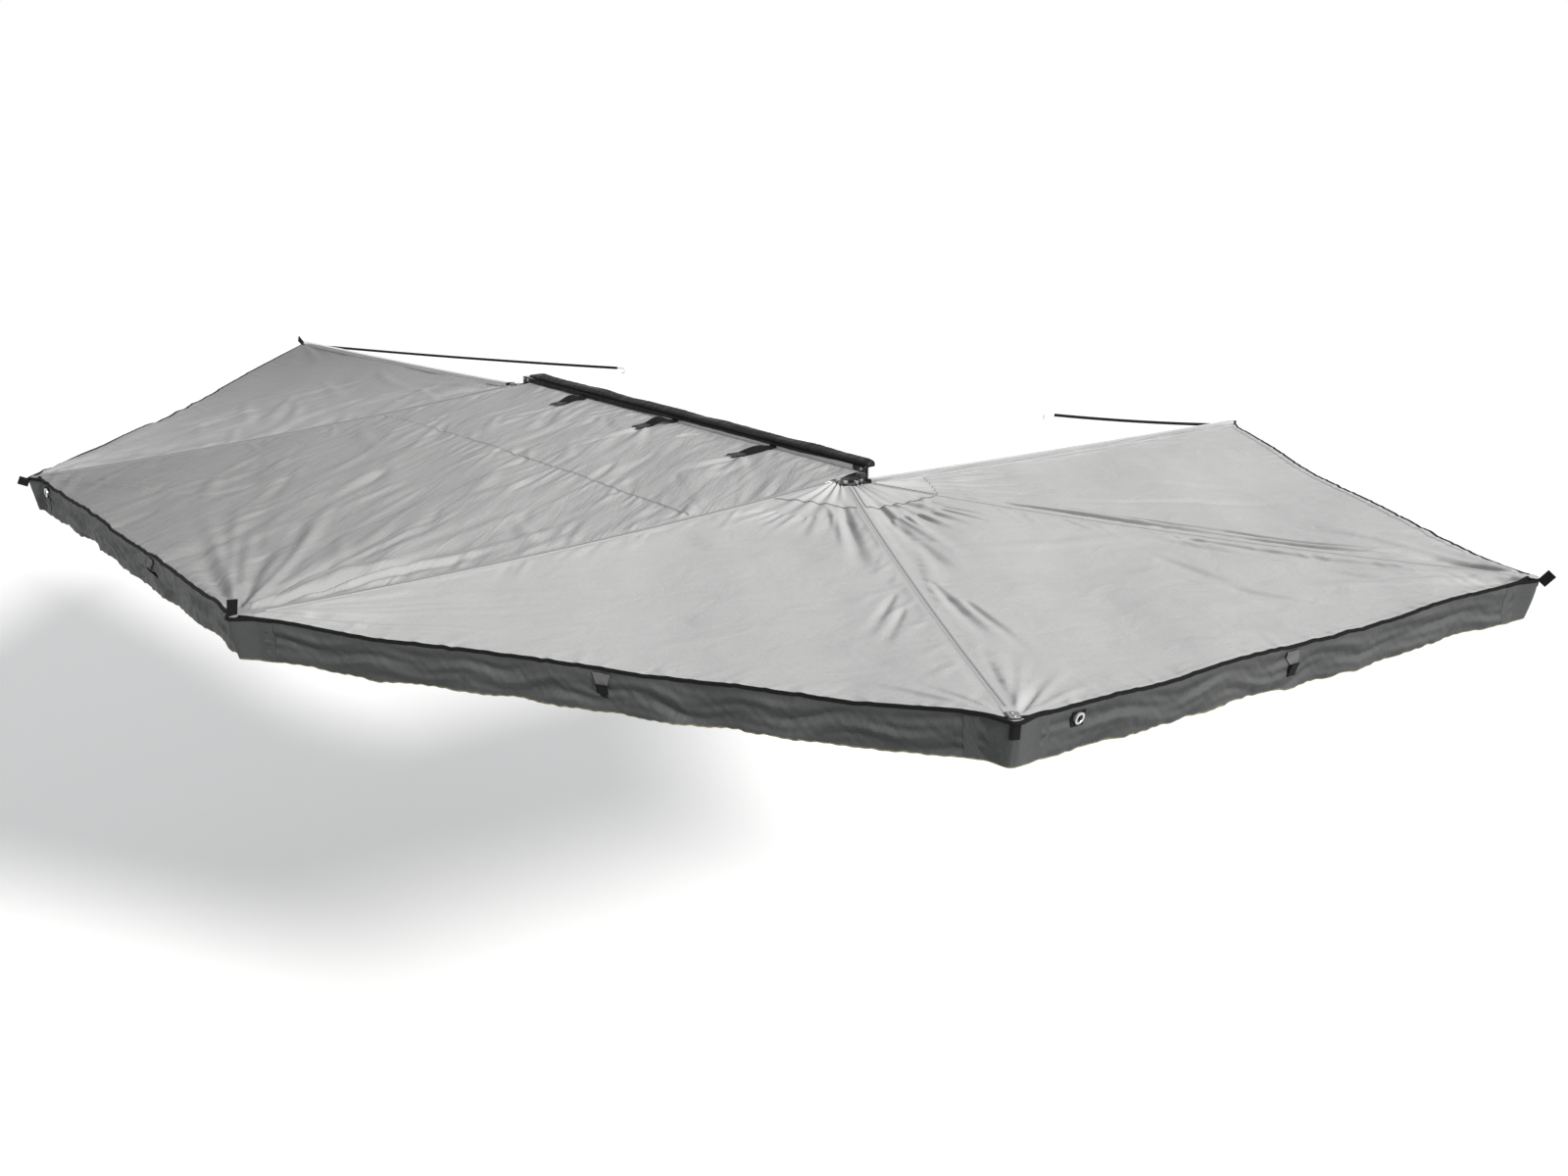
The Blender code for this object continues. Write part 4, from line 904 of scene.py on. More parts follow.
def valance_points(key, share, fall):
    """The hanging cloth: 0 at the hem, 1 at its lower edge."""
    top = sample(share, *hems[key])
    length = hem_length(key)
    run = share * length
    ends = smooth(np.minimum(share, 1 - share) * length, -0.04, 0.09)
    seed = 31 + sorted(PAIRS).index(key)
    drift = ripple(run, 0, (0.9, 0.55, 0.31), seed + 9)
    slack = 0.6 + 0.4 * ripple(run, 0, (0.6, 0.37), seed + 20)
    bulge = np.sin(pi * fall)
    wave = 0.7 * VALANCE_WAVE * fall * np.sin(2 * pi * run / VALANCE_WAVE_LENGTH + 0.7 * np.sin(run * 2.3))
    for (height, down, along, stray), reach in zip(VALANCE_FOLDS, (slack * smooth(fall, 0.0, 0.3), bulge, bulge)):
        wave += height * reach * np.sin(2 * pi * (down * fall + along * run + stray * drift)) * ends
    wave += 0.0022 * fall * ripple(run + 0.06 * fall, 0.6 * fall, (0.19, 0.11, 0.063), seed) * ends
    wave += 0.0009 * bulge * ripple(run - 0.12 * fall, 0, (0.045, 0.028), seed + 50) * ends
    drop = 0.0036 + (VALANCE_DROP - 0.0021) * fall
    drop = drop + 0.0032 * fall**3 * ripple(run, 0, (0.33, 0.17, 0.09, 0.035), seed + 70) * ends
    inward = VALANCE_DROP * fall * tan(VALANCE_LEAN)
    point = top + (wave - inward + 0.0012)[..., None] * outward_of(key)
    point[..., 2] -= drop
    return point


def make_valance(key):
    length = hem_length(key)
    columns = int(length / 0.0075) // 2 * 2 + 1
    share, fall = np.meshgrid(np.linspace(0, 1, columns), np.linspace(0, 1, 19) ** 0.9)
    grid = valance_points(key, share, fall)
    uv = paired(share * length, VALANCE_DROP * (1 - fall))
    normals = normals_of(grid, outward_of(key))
    for tail, low, high, half in halves(key):
        part = slice(round(low * (columns - 1)), round(high * (columns - 1)) + 1)
        cut = grid[:, part]
        made = cloth_object(f"valance_cloth_{key}{tail}", cut, uv[:, part], valance_cloth, 0.001, normals[:, part])
        follow(made, key, half or share[:, part], f"valance_{key}")


for key in PAIRS:
    make_hem(key)
    make_valance(key)


# ---------------------------------------------------------------- seams and patches
def sewn_strip(name, arm, reach, profile, pucker, material, thickness, inward=1, middle=0.0):
    """A strip sewn to the cloth along an arm, from (aside, upwards) steps across it."""
    rows = []
    for aside, rise in profile:
        row = arm.cloth(reach, inward * aside)
        row[:, 2] += rise + pucker(aside)
        rows.append(row)
    uv = paired(reach[None], np.array(profile)[:, :1] - middle)
    return attach(cloth_object(name, np.stack(rows), uv, material, thickness), f"arm_{arm.letter}")


SEAM_PROFILE = ((-0.0105, 0.0003), (-0.0098, 0.0009), (-0.004, 0.0012), (-0.0008, 0.0009),
                (0.0008, 0.0009), (0.004, 0.0012), (0.0098, 0.0009), (0.0105, 0.0003))
EDGE_PROFILE = ((0.0120, 0.0002), (0.0125, 0.0014), (0.016, 0.0020), (0.022, 0.0013), (0.0265, 0.0010), (0.0270, 0.0))
CROSS_PROFILE = ((-0.0072, 0.0003), (-0.0066, 0.0010), (-0.002, 0.0011), (0.002, 0.0011), (0.0066, 0.0010),
                 (0.0072, 0.0003))


def make_seams():
    reach = np.linspace(0.052, 1.905, 170)
    for letter in "bcde":
        sewn_strip(f"seam_{letter}", ARMS[letter], reach, SEAM_PROFILE,
                   lambda aside: 0.00025 * ripple(reach, aside * 300, (0.024, 0.013), 5), seam_cloth[letter], 0.0004)


def make_patch(key):
    """The second layer of cloth round the rear hinge, with its stitched outer edge."""
    outer = out_at(0.262)
    share, out = np.meshgrid(np.linspace(0.0, 1.0, 90), np.linspace(out_at(COLLAR_REACH + 0.004), outer, 26))
    grid = surface(key, share, out)
    grid[..., 2] += 0.0022
    grid[-1, :, 2] -= 0.0006
    made = cloth_object(f"hub_patch_{key}", grid, paired(share * 0.3, (outer - out) * FAN_REACH), patch_cloth, 0.0012)
    follow(made, key, share)


def make_cross_seam():
    """The sewn joint across the long panel, from arm B to arm C."""
    outs = np.linspace(0.2, 0.5, 61)
    for half, low, high in (("front", 0.006, 0.5), ("rear", 0.5, 0.994)):
        shares = np.linspace(low, high, 150)
        rows = surface("bc", *np.meshgrid(shares, outs))
        found = np.array([np.interp(-SEAM_Y, -rows[:, k, 1], outs) for k in range(len(shares))])
        sides, rises = np.array(CROSS_PROFILE).T
        grid = np.stack([surface("bc", shares, found + side / ARM_LENGTH) for side in sides])
        grid[..., 2] += rises[:, None]
        uv = paired(grid[0, :, 0][None], sides[:, None])
        made = cloth_object(f"cross_seam_{half}", grid, uv, seam_cloth["cross"], 0.0004)
        trims["bc"].append((half, follow(made, "bc", half)))


def edge_hem(arm, inward, key):
    """The turned edge of the first or last panel, beside its arm."""
    reach = np.linspace(0.060, 1.925, 170)
    pucker = 0.0002 * ripple(reach, 0, (0.03, 0.017), 3)
    made = sewn_strip(f"edge_hem_{arm.letter}", arm, reach, EDGE_PROFILE, lambda _: pucker, PANEL_CLOTH[key], 0.0005,
                      inward, middle=0.0195)
    trims[key].append((None, made))


def hub_gusset(arm, inward, half):
    """The small corner of the long panel beside a hinge, drawn in towards the rail."""
    corner = np.array((arm.pivot[0] + inward * CORNER_INSET, CASE_EDGE_Y, CASE_EDGE_HEIGHT))
    near_rail = np.array((arm.pivot[0] + inward * 0.034, CASE_EDGE_Y - 0.0006, CASE_EDGE_HEIGHT))
    near_arm = arm.cloth(0.054, inward * 0.006)
    run, out = np.meshgrid(np.linspace(0, 1, 14), np.linspace(0, 1, 30))
    outer = corner + (arm.cloth(HUB_CLEARANCE) - corner) * out[..., None]
    inner = near_rail + (near_arm - near_rail) * out[..., None]
    inner[..., 0] += inward * 0.012 * 4 * (out * (1 - out))
    grid = outer + (inner - outer) * run[..., None]
    grid[..., 2] += 0.0007 + 0.0016 * np.sin(run * 9 + out * 5) * np.sin(pi * out) * run
    made = cloth_object(f"hub_corner_{arm.letter}", grid, panel_uv("bc", grid), cloth_left, 0.0006)
    trims["bc"].append((half, attach(made, "root")))


make_seams()
for key in ("cd", "de", "ef"):
    make_patch(key)
make_cross_seam()
edge_hem(arm_a, 1, "ab")
edge_hem(arm_f, -1, "ef")
hub_gusset(arm_b, 1, "front")
hub_gusset(arm_c, -1, "rear")


# ---------------------------------------------------------------- corners
CORNERS = {"b": ("ab", "bc"), "c": ("bc", "cd"), "d": ("cd", "de"), "e": ("de", "ef")}
CORNER_SHARES = np.array((0.958, 0.970, 0.981))
CORNER_POINTS = 60
TIP_REACH, TIP_RADIUS = 1.945, 0.0262


def corner_line(letter, fall, proud=0.0):
    """Round a shared tip, from one valance to the next."""
    arm = ARMS[letter]
    before, after = CORNERS[letter]
    falls = np.full(3, fall)
    start = valance_points(before, CORNER_SHARES, falls) + (0.0008 + proud) * outward_of(before)
    end = valance_points(after, 1 - CORNER_SHARES[::-1], falls) + (0.0008 + proud) * outward_of(after)
    level = (start[-1][2] + end[0][2]) / 2
    apex = []
    for aside, reach in ((-0.0150, 1.9640), (0.0, 1.9700), (0.0150, 1.9640)):
        point = arm.pivot + (reach - 0.0240 * fall**1.3 + proud) * arm.along + aside * arm.across
        apex.append((point[0], point[1], level))
    return spline(np.concatenate((start, apex, end)), CORNER_POINTS)


def corner_facing(line, arm):
    outward = unit(np.cross(np.gradient(line, axis=0), UP))
    return outward * np.sign(outward @ arm.along)[:, None]


def make_corner(letter):
    arm = ARMS[letter]
    falls = np.linspace(0.0, 1.0, 14)
    rows = np.stack([corner_line(letter, fall) for fall in falls])
    facing = corner_facing(rows[0], arm)
    pucker = 0.0012 * np.sin(np.linspace(0, 26, CORNER_POINTS))[None] * np.sin(pi * falls)[:, None]
    rows += pucker[..., None] * facing[None]
    uv = paired(run_of(rows[0])[None], VALANCE_DROP * (1 - falls)[:, None])
    gusset = cloth_object(f"valance_corner_{letter}", rows, uv, valance_cloth, 0.0009, facing)
    band = profile_strip(
        f"corner_binding_{letter}", corner_line(letter, 0.0) + 0.0030 * UP, facing, HEM_BAND, binding)
    sides = np.linspace(-1, 1, 15)
    nose = TIP_REACH + TIP_RADIUS * np.sin(np.linspace(0.2, pi / 2, 7))
    reach = np.concatenate((np.linspace(1.872, TIP_REACH, 9), nose))
    over = np.clip((reach - TIP_REACH) / 0.0266, 0, 1)
    half = np.where(reach <= TIP_REACH, 0.0135, 0.0185 * np.sqrt(1 - over**2) + 0.0012)
    grid = np.stack([arm.cloth(np.minimum(reach, TIP_REACH))] * len(sides), 1)
    grid += np.maximum(reach - TIP_REACH, 0)[:, None, None] * arm.along
    grid += (half[:, None] * sides)[..., None] * arm.across
    grid[..., 2] += 0.0014 - 0.0035 * (over**2)[:, None] - 0.0005 * (sides**2)[None]
    uv = paired(reach[:, None], half[:, None] * sides[None])
    cap = cloth_object(f"corner_cap_{letter}", grid, uv, cloth_left if letter in "bc" else cloth_right, 0.0008)
    for made, slot in ((gusset, "valance_cloth"), (band, "webbing"), (cap, "canopy_cloth")):
        attach(made, f"arm_{letter}")


for letter in CORNERS:
    make_corner(letter)


# ---------------------------------------------------------------- tabs
TAB_LENGTH, TAB_HALF_WIDTH = 0.055, 0.0135
LUG_END = 1.9633
# Tilt from the arm in degrees, share of the full length, how far above the lug, and how far beyond it.
TABS = {
    "a": (22.0, 1.0, 0.0, 0.0003),
    "b": (25.0, 0.66, 0.0, 0.0003 + 0.006 * cos(radians(25.0))),
    "c": (96.0, 0.84, 0.013, -0.007 - TAB_HALF_WIDTH * sin(radians(96.0))),
    "e": (50.0, 0.72, 0.0, 0.0003 + 0.006 * cos(radians(50.0))),
}
LOOP = [(0.0, 0.9), (0.25, 1.0), (0.55, 1.1), (0.78, 1.5), (0.90, 2.3), (0.965, 2.4), (0.995, 1.5), (1.0, 0.0)]


def tab_loop(name, base, out, width, length, half, fat=1.0):
    """Webbing folded back on itself, with a soft round end."""
    facing = np.cross(width, out)
    shape = LOOP + [(s, -n) for s, n in LOOP[-2::-1]]
    line = spline([base + s * length * out + n * 0.001 * fat * facing for s, n in shape], 60)
    return strip(name, line, width, half, black_webbing, 0.0012)


def make_tab(letter):
    arm = ARMS[letter]
    tilt, size, lift, gap = TABS[letter]
    tilt = radians(tilt)
    out = cos(tilt) * arm.along + sin(tilt) * UP
    width = -sin(tilt) * arm.along + cos(tilt) * UP
    start = LUG_END + gap + sin(tilt) * TAB_HALF_WIDTH
    base = arm.pivot + start * arm.along + (float(arm.centre(LUG_END)) + lift) * UP
    made = tab_loop(f"tip_tab_{letter}", base, out, width, size * TAB_LENGTH, TAB_HALF_WIDTH)
    attach(made, f"arm_{letter}", None if letter == "a" else f"corner_tab_{letter}")


def tab_foot(letter, high, half, node=None):
    """The webbing sewn round a corner, that the tab comes out of."""
    falls, wanted = np.linspace(0.03, high, 9), np.linspace(-half, half, 17)
    rows = []
    for fall in falls:
        line = corner_line(letter, fall, 0.0022)
        run = run_of(line)
        rows.append(sample(wanted, run - run[-1] / 2, line))
    uv = paired(wanted[None], VALANCE_DROP * falls[:, None])
    facing = corner_facing(rows[0], ARMS[letter])
    made = cloth_object(f"tab_foot_{letter}", np.stack(rows), uv, black_webbing, 0.0012, facing)
    attach(made, f"arm_{letter}", node)


for letter in TABS:
    make_tab(letter)
tab_foot("b", 0.14, 0.016)
tab_foot("e", 0.14, 0.016)
tab_foot("d", 0.34, 0.0130, "corner_tab_d")


def tip_plate():
    """The riveted plate on the corner over arm D, and the webbing that runs under it."""
    arm = arm_d
    top = arm.cloth(1.935) + 0.0040 * UP
    place = frame_at(top, arm.cloth(1.94) - arm.cloth(1.90), arm.across)
    half_long, half_wide, corner = 0.021, 0.0120, 0.005
    outline = []
    for x, y in ((1, 1), (-1, 1), (-1, -1), (1, -1)):
        for k in range(5):
            turn = radians(90 * k / 4) + atan2(y, x) - radians(45)
            centre_x, centre_y = x * (half_long - corner), y * (half_wide - corner)
            outline.append((centre_x + corner * cos(turn), centre_y + corner * sin(turn)))
    parts = [plate("plate", outline, 0.0, 0.0018, place, worn_steel, 0.0006)]
    dome = [(0.0, 0.0052), (0.0024, 0.0048), (0.0044, 0.0036), (0.0052, 0.0018), (0.0, 0.0018)]
    for x in (-0.011, 0.011):
        parts.append(lathe("rivet", dome, place @ Matrix.Translation((x, 0, 0)), worn_steel, 24))
    attach(merged("tip_plate_d", parts), "arm_d")
    wider = [(1.14 * x, 1.24 * y) for x, y in outline]
    gasket = plate("tip_gasket_d", wider, -0.0016, -0.0001, place, black_plastic, 0.0004)
    attach(gasket, "arm_d")
    line = [top + (0.0016 - 0.0040) * UP + s * arm.across + (0.012 - 0.00035 * (s * 100) ** 2) * arm.along * 0.6
            for s in np.linspace(-0.030, 0.034, 20)]
    attach(strip("tip_band_d", line, arm.along, 0.008, black_webbing, 0.0010, UP), "arm_d")


tip_plate()


# ---------------------------------------------------------------- pieces sewn on the valances
MID_TABS = (("bc", (0.307, -2.065)), ("cd", (1.898, -1.514)), ("de", (2.789, -0.155)))
EYELET_PATCHES = (("bc", 0.045), ("de", 0.085))
EYELET = [(0.0088, -0.0045), (0.0088, 0.0014), (0.0102, 0.0027), (0.0126, 0.0028), (0.0150, 0.0016), (0.0156, -0.0045)]


def on_valance(key, share, fall, proud):
    """A place on a valance's outer face, with its directions across and down."""
    spot, beside = valance_points(key, np.array([share, share + 0.004]), np.array([fall, fall]))
    across = unit(beside - spot)
    down = valance_points(key, np.array([share]), np.array([fall + 0.08]))[0] - spot
    down = unit(down - (down @ across) * across)
    return spot + proud * outward_of(key), across, down


def draped(name, key, share, falls, half_widths, proud, material):
    """A piece sewn flat on a valance: rows down it, each with its own half width."""
    sides = half_widths[:, None] * np.linspace(-1, 1, 7)
    spots = share + sides / hem_length(key)
    grid = valance_points(key, spots, np.broadcast_to(falls[:, None], spots.shape)) + proud * outward_of(key)
    uv = paired(sides, VALANCE_DROP * falls[:, None])
    return cloth_object(name, grid, uv, material, 0.0014, normals_of(grid, outward_of(key)))


def mid_tab(number, key, place):
    """A tapered tongue of cloth below the binding, with a looped webbing end."""
    shares, line = hems[key]
    share = float(shares[np.argmin(np.linalg.norm(line[:, :2] - place, axis=1))])
    moves = half_of(key, share) or np.full(1, share)
    widths = np.linspace(0.026, 0.0145, 8)
    tongue = draped(f"mid_tongue_{number}", key, share, np.linspace(0.07, 0.37, 8), widths, 0.0042, tongue_cloth)
    follow(tongue, key, moves)
    base, across, down = on_valance(key, share, 0.35, 0.0092)
    follow(tab_loop(f"mid_tab_{number}", base, down, across, 0.036, 0.0145, 1.3), key, moves)


def eyelet_patch(number, key, share):
    """A plain patch of webbing with a metal eyelet."""
    moves = half_of(key, share) or np.full(1, share)
    falls = np.linspace(0.10, 0.44, 8)
    patch = draped(f"eyelet_patch_{number}", key, share, falls, np.full(8, 0.0185), 0.0036, black_webbing)
    follow(patch, key, moves)
    upper, across, _ = on_valance(key, share, 0.13, 0.0062)
    lower = on_valance(key, share, 0.39, 0.0062)[0]
    rise = (upper - lower) * np.sign((upper - lower) @ np.cross(outward_of(key), across))
    eyelet = lathe(f"eyelet_{number}", EYELET, frame_at((upper + lower) / 2, across, rise), bright_steel)
    follow(eyelet, key, moves)


for number, (key, place) in enumerate(MID_TABS, 1):
    mid_tab(number, key, place)
for number, (key, share) in enumerate(EYELET_PATCHES, 1):
    eyelet_patch(number, key, share)


# ---------------------------------------------------------------- closure straps
CLOSURE_HALF_WIDTH = 0.0175
# Where each strap leaves the rail, how far it slants, the hump it makes and its twist in degrees.
CLOSURES = ((-0.60, 0.30, 0.004, 26), (0.0, 0.05, 0.011, 24), (0.57, 0.0, 0.003, 24))
BUCKLE_BARS = ((-0.016, -0.0115), (-0.005, 0.001), (0.006, 0.0125))
BUCKLE_RAIL = ((0.0150, -0.016), (0.0195, -0.014), (0.0195, 0.012), (0.0150, 0.012))
BUCKLE_PRONG = ((0.0125, 0.010), (0.0185, 0.010), (0.0205, 0.020), (0.0215, 0.028), (0.0180, 0.036),
                (0.0125, 0.038), (0.0115, 0.035), (0.0150, 0.030), (0.0145, 0.022))
BUCKLE_TONGUE = ((-0.0035, 0.010), (0.0035, 0.010), (0.0030, 0.030), (0.0, 0.033), (-0.0030, 0.030))


def male_buckle(name, place):
    """The male half of a side-release buckle: three bars, two rails, two prongs and a tongue."""
    parts = []
    for low, high in BUCKLE_BARS:
        bar = [(-0.0190, low), (0.0190, low), (0.0190, high), (-0.0190, high)]
        parts.append(plate("bar", bar, -0.0028, 0.0030, place, black_plastic, 0.0012))
    for side in (-1, 1):
        for part, low, high, bevel in ((BUCKLE_RAIL, -0.0034, 0.0036, 0.0014), (BUCKLE_PRONG, -0.0026, 0.0032, 0.0012)):
            outline = [(side * x, y) for x, y in part][::side]
            parts.append(plate("part", outline, low, high, place, black_plastic, bevel))
    parts.append(plate("tongue", BUCKLE_TONGUE, -0.0016, 0.0020, place, black_plastic, 0.0008))
    return merged(name, parts)


def cover_closure(number, x, slant, hump, twist):
    """A closure strap from the rail's edge, lying on the canopy, with half of its buckle."""
    root = np.array((x, CASE_EDGE_Y))
    start = np.array((x, CASE_EDGE_Y - 0.0012, 0.034))
    run = unit(np.array((slant, -1.0)))
    line, turns = [start, start - 0.006 * UP], [0.0, 0.0]
    for s in np.linspace(0.008, 0.142, 16):
        place = root + s * run
        turns.append(radians(twist) * np.sin(pi * min(1.0, s / 0.150)))
        lift = 0.0022 + hump * np.sin(pi * min(1.0, s / 0.125)) ** 2 + 0.004 * np.exp(-((s - 0.005) / 0.010) ** 2)
        line.append(np.array((*place, side_height(*place) + lift + CLOSURE_HALF_WIDTH * sin(turns[-1]))))
    turns = np.interp(np.linspace(0, 1, 70), np.linspace(0, 1, len(line)), turns)[:, None]
    line = spline(line, 70)
    across = np.array((-run[1], run[0], 0.0))
    tilted = np.cos(turns) * across - np.sin(turns) * UP
    made = strip(f"closure_strap_{number}", line, tilted, CLOSURE_HALF_WIDTH, black_webbing, 0.0016, (0, -0.3, 1))
    attach(made, "root", f"cover_strap_{number}")
    base = line[-1] + 0.0022 * UP
    ahead = root + 0.190 * run
    ahead = np.array((*ahead, side_height(*ahead) + 0.0044)) - base
    place = frame_at(base, across, ahead)
    if place[2][2] < 0:
        place = frame_at(base, -across, ahead)
    buckle = male_buckle(f"closure_buckle_{number}", place)
    attach(buckle, "root", f"cover_buckle_{number}")


for number, closure in enumerate(CLOSURES, 1):
    cover_closure(number, *closure)


# ---------------------------------------------------------------- travel cover
COVER_FRONT, COVER_REAR, COVER_BOTTOM, COVER_MIDDLE_Y = -1.040, 1.050, 0.0403, -0.0063
COVER_HALF_WIDTH, COVER_HEIGHT, COVER_GIRTH = 0.020, 0.0245, 0.12
COVER_STEPS, COVER_SIDES = 420, 56
FLAP_START, FLAP_END, FLAP_TOP, FLAP_DROP, FLAP_Y = -1.02, 0.98, 0.0412, 0.0172, -0.0279


def make_cover():
    """The folded cover along the rail's top: one rolled shape with pleats, creases and a hem."""
    length = COVER_REAR - COVER_FRONT
    run = np.linspace(0, length, COVER_STEPS)
    turn = 2 * pi * np.arange(COVER_SIDES) / COVER_SIDES
    blunt = np.minimum(1.0, 0.72 + 0.28 * np.sqrt(np.clip((length - run) / 0.016, 0, 1)))
    taper = np.minimum(1.0, 0.35 + 0.65 * run / 0.100) * blunt
    swelling = 1 + 0.07 * np.sin(2 * pi * run / 0.43) + 0.04 * np.sin(2 * pi * run / 0.25)
    pleat = 0.055 * np.sin(5 * turn[None] + 0.9 * ripple(run, 0, (0.6, 0.35), 21)[:, None] * 3)
    pleat = pleat * np.clip(np.sin(turn)[None] + 0.35, 0, 1)
    crease = 0.050 * ripple(run, 0, (0.047, 0.031, 0.020), 22)[:, None] * np.sin(2 * turn[None] + 1.0)
    crease = crease + 0.035 * ripple(run, 0, (0.085, 0.060), 23)[:, None] * np.cos(3 * turn[None])
    rise = np.maximum(0.0, 0.35 + 0.65 * np.sin(turn)[None] * (1 + pleat + crease))
    width = COVER_HALF_WIDTH * taper[:, None] * np.cos(turn)[None] * (1 + 0.5 * pleat + 0.6 * crease)
    x = np.broadcast_to((COVER_FRONT + run)[:, None], rise.shape)
    grid = np.stack((x, COVER_MIDDLE_Y + width, COVER_BOTTOM + COVER_HEIGHT * (taper * swelling)[:, None] * rise), -1)
    uv = paired(run[:, None], COVER_GIRTH * turn[None] / (2 * pi))
    cover = tube_object("folded_cover", grid, uv, cover_cloth, True)
    attach(cover, "root", "travel_cover")
    part = run[8:-4]
    y = -0.0269 - 0.0004 * ripple(part, 0, (0.05, 0.03), 28) + 0.020 * (1 - taper[8:-4])
    line = np.stack((COVER_FRONT + part, y, np.full(len(part), 0.0434)), -1)
    attach(strip("cover_edge_tape", line, UP, 0.0042, black_webbing, 0.0010, (0, -1, 0)), "root")
    return cover


def make_flap(cover):
    """The cover's front edge, which hangs over the keder rail and lifts towards the hub."""
    share, fall = np.meshgrid(np.linspace(0, 1, 181), np.linspace(0, 1, 7))
    x = FLAP_START + (FLAP_END - FLAP_START) * share
    hang = (0.45 + 0.55 * smooth(0.10 - x, 0.0, 0.40)) * smooth(FLAP_END - x, -0.02, 0.30)
    y = FLAP_Y - 0.0006 * fall - 0.0007 * fall * ripple(x, 0, (0.21, 0.09, 0.05), 61)
    z = FLAP_TOP - FLAP_DROP * fall * hang + 0.0006 * fall * ripple(x, 0, (0.16, 0.06), 62)
    grid = np.stack((x, y, z), -1)
    made = cloth_object("cover_flap", grid, paired(x, z), cover_cloth, 0.0008, normals_of(grid, np.array((0, -1, 0))))
    attach(made, "root")


make_flap(make_cover())


# ---------------------------------------------------------------- tension straps
STRAP_RADIUS, STRAP_SAG = 0.003, 0.006
STRAP_HALF_WIDTH, STRAP_HALF_THICKNESS = 0.0056, 0.0016
CAM_LENGTH, CAM_THICKNESS, CAP_THICKNESS = 0.030, 0.010, 0.004
ANCHORS = {"a": (-0.16, 0.51, 0.0), "f": (-0.40, 1.21, 0.0)}


def flat_tube(name, line):
    """Thick webbing that stands on edge, with rounded edges."""
    ahead = unit(np.gradient(line, axis=0))
    side = unit(np.cross(ahead, UP))
    top = np.cross(side, ahead)
    turn = 2 * pi * np.arange(12) / 12
    ring = STRAP_HALF_THICKNESS * np.cos(turn)[None, :, None] * side[:, None]
    ring = ring + STRAP_HALF_WIDTH * np.sin(turn)[None, :, None] * top[:, None]
    uv = paired(run_of(line)[:, None], STRAP_HALF_WIDTH * turn[None] / 2)
    return tube_object(name, line[:, None] + ring, uv, black_webbing)


def tension_strap(letter, free_side):
    arm = ARMS[letter]
    end_reach = TUBE_END + CAP_THICKNESS
    near = ARM_WIDTH / 2 + SEAT_GAP
    exit_aside = free_side * (near + near + CAM_THICKNESS / 2) / 2
    start = arm.pivot + (end_reach - CAM_LENGTH) * arm.along + exit_aside * arm.across
    start = start + float(arm.centre(end_reach)) * UP
    end = np.array(ANCHORS[letter]) + (free_side * HINGE_SPACING / 2, 0, 0)
    direction = unit(end - start)
    inwards = -direction @ arm.along
    start = start + direction * (SEAT_GAP + STRAP_RADIUS * (1 - inwards**2) ** 0.5) / inwards
    count = max(12, round(np.linalg.norm(end - start) / (8 * STRAP_RADIUS)))
    share = np.linspace(0, 1, count + 1)[:, None]
    line = start + (end - start) * share - 4 * STRAP_SAG * share * (1 - share) * UP
    made = attach(flat_tube(f"guy_strap_{letter}", line), "root", f"tension_strap_{letter}")
    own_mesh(made)


tension_strap("a", -1)
tension_strap("f", 1)


# ---------------------------------------------------------------- finishes of the CAD parts
TUBE_TONE, TUBE_F_TONE = (0.82, 0.825, 0.83), (0.74, 0.745, 0.75)
FORK_BOLTS = ((-1.066, 0.031), (-1.066, -0.031), (-1.034, 0.031), (-1.034, -0.031), (0.992, -0.031), (1.020, 0.031),
              (1.020, -0.031))
BOLT_HEAD = [(0.0, 0.0018), (0.0022, 0.0018), (0.0026, 0.0040), (0.0046, 0.0042), (0.0052, 0.0036), (0.0052, 0.0),
             (0.0, 0.0)]


def dress(material, *nodes):
    for node in nodes:
        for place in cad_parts[node].material_slots:
            place.link = "OBJECT"
            place.material = material


for letter, arm in ARMS.items():
    turn = atan2(arm.along[1], arm.along[0])
    tone = TUBE_F_TONE if letter == "f" else TUBE_TONE
    dress(brushed(f"brushed_aluminium_{letter}", tone, turn), f"arm_tube_{letter}")
    dress(black_steel, f"knuckle_{letter}")
    dress(black_plastic, f"tip_fitting_{letter}")
    dress(bright_steel, f"pivot_bolt_{letter}")
dress(brushed("rail_aluminium", (0.62, 0.625, 0.63), 0.0, 0.38), "mounting_rail")
dress(pale_rail, "keder_rail")
dress(black_plastic, "clamp_knob")
dress(black_steel, "bracket_front", "bracket_rear", "hinge_fork_front", "hinge_fork_rear", "strap_buckle_a",
      "strap_buckle_f")
dress(bright_steel, "bracket_bolt_front", "bracket_bolt_rear", "strap_hook_a", "strap_hook_f")
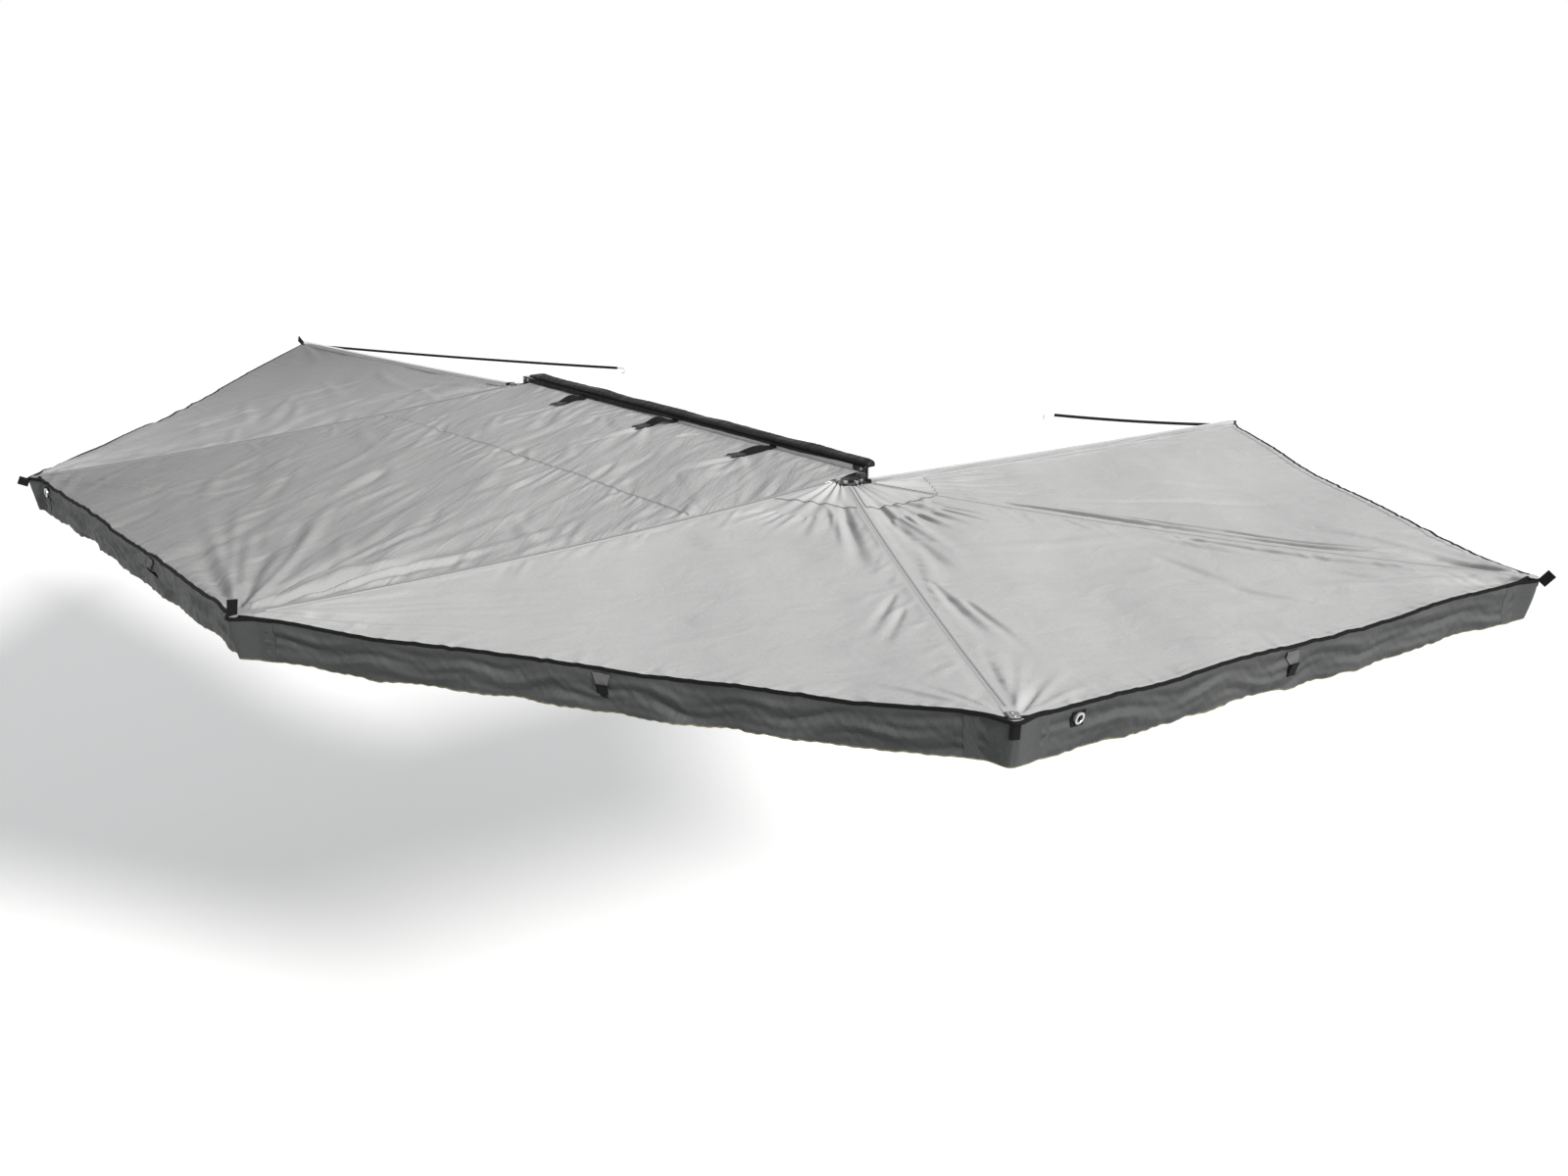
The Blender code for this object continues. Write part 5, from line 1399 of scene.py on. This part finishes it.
for number, (x, z) in enumerate(FORK_BOLTS, 1):
    place = frame_at((x, -0.0214, z), (1, 0, 0), (0, 0, 1))
    attach(lathe(f"fork_bolt_{number}", BOLT_HEAD, place, bright_steel, 24), "root")


# ---------------------------------------------------------------- stage and light
SUN_AZIMUTH, SUN_ELEVATION, SUN_STRENGTH, SUN_SPREAD = 2.0, 27.0, 4.1, 9
SKY_COLOUR, SKY_STRENGTH = (0.97, 0.985, 1.0, 1), 0.42
FLOOR_HEIGHT, FLOOR_SIZE, FLOOR_GLOW = -1.95, 400, 0.24


def make_stage():
    bpy.ops.mesh.primitive_plane_add(size=FLOOR_SIZE, location=(0, 0, FLOOR_HEIGHT))
    floor = bpy.context.object
    floor.name = "floor"
    nodes = new_nodes("pale_floor", grey(0.86), 0.9, {"Emission Color": (1, 1, 1, 1)})
    floor.data.materials.append(nodes.shade({"Emission Strength": nodes.maths("MULTIPLY", nodes.seen(), FLOOR_GLOW)}))
    scene.world = bpy.data.worlds.new("studio")
    nodes = Nodes(scene.world)
    nodes.tree.nodes.clear()
    lit = nodes.add("Background", {"Color": SKY_COLOUR, "Strength": SKY_STRENGTH})
    white = nodes.add("Background", {"Color": (1, 1, 1, 1), "Strength": 1.0})
    chosen = nodes.add("MixShader", {0: nodes.seen(), 1: lit, 2: white})
    nodes.feed(nodes.tree.nodes.new("ShaderNodeOutputWorld"), {"Surface": chosen})
    sun = bpy.data.lights.new("sun", "SUN")
    sun.energy = SUN_STRENGTH
    sun.angle = radians(SUN_SPREAD)
    sun.color = (1.0, 0.985, 0.965)
    lamp = bpy.data.objects.new("sun", sun)
    scene.collection.objects.link(lamp)
    lamp.rotation_mode = "QUATERNION"
    azimuth, elevation = radians(SUN_AZIMUTH), radians(SUN_ELEVATION)
    direction = Vector((cos(azimuth) * cos(elevation), sin(azimuth) * cos(elevation), sin(elevation)))
    lamp.rotation_quaternion = direction.to_track_quat("Z", "Y")


make_stage()
scene.view_settings.view_transform = "Standard"
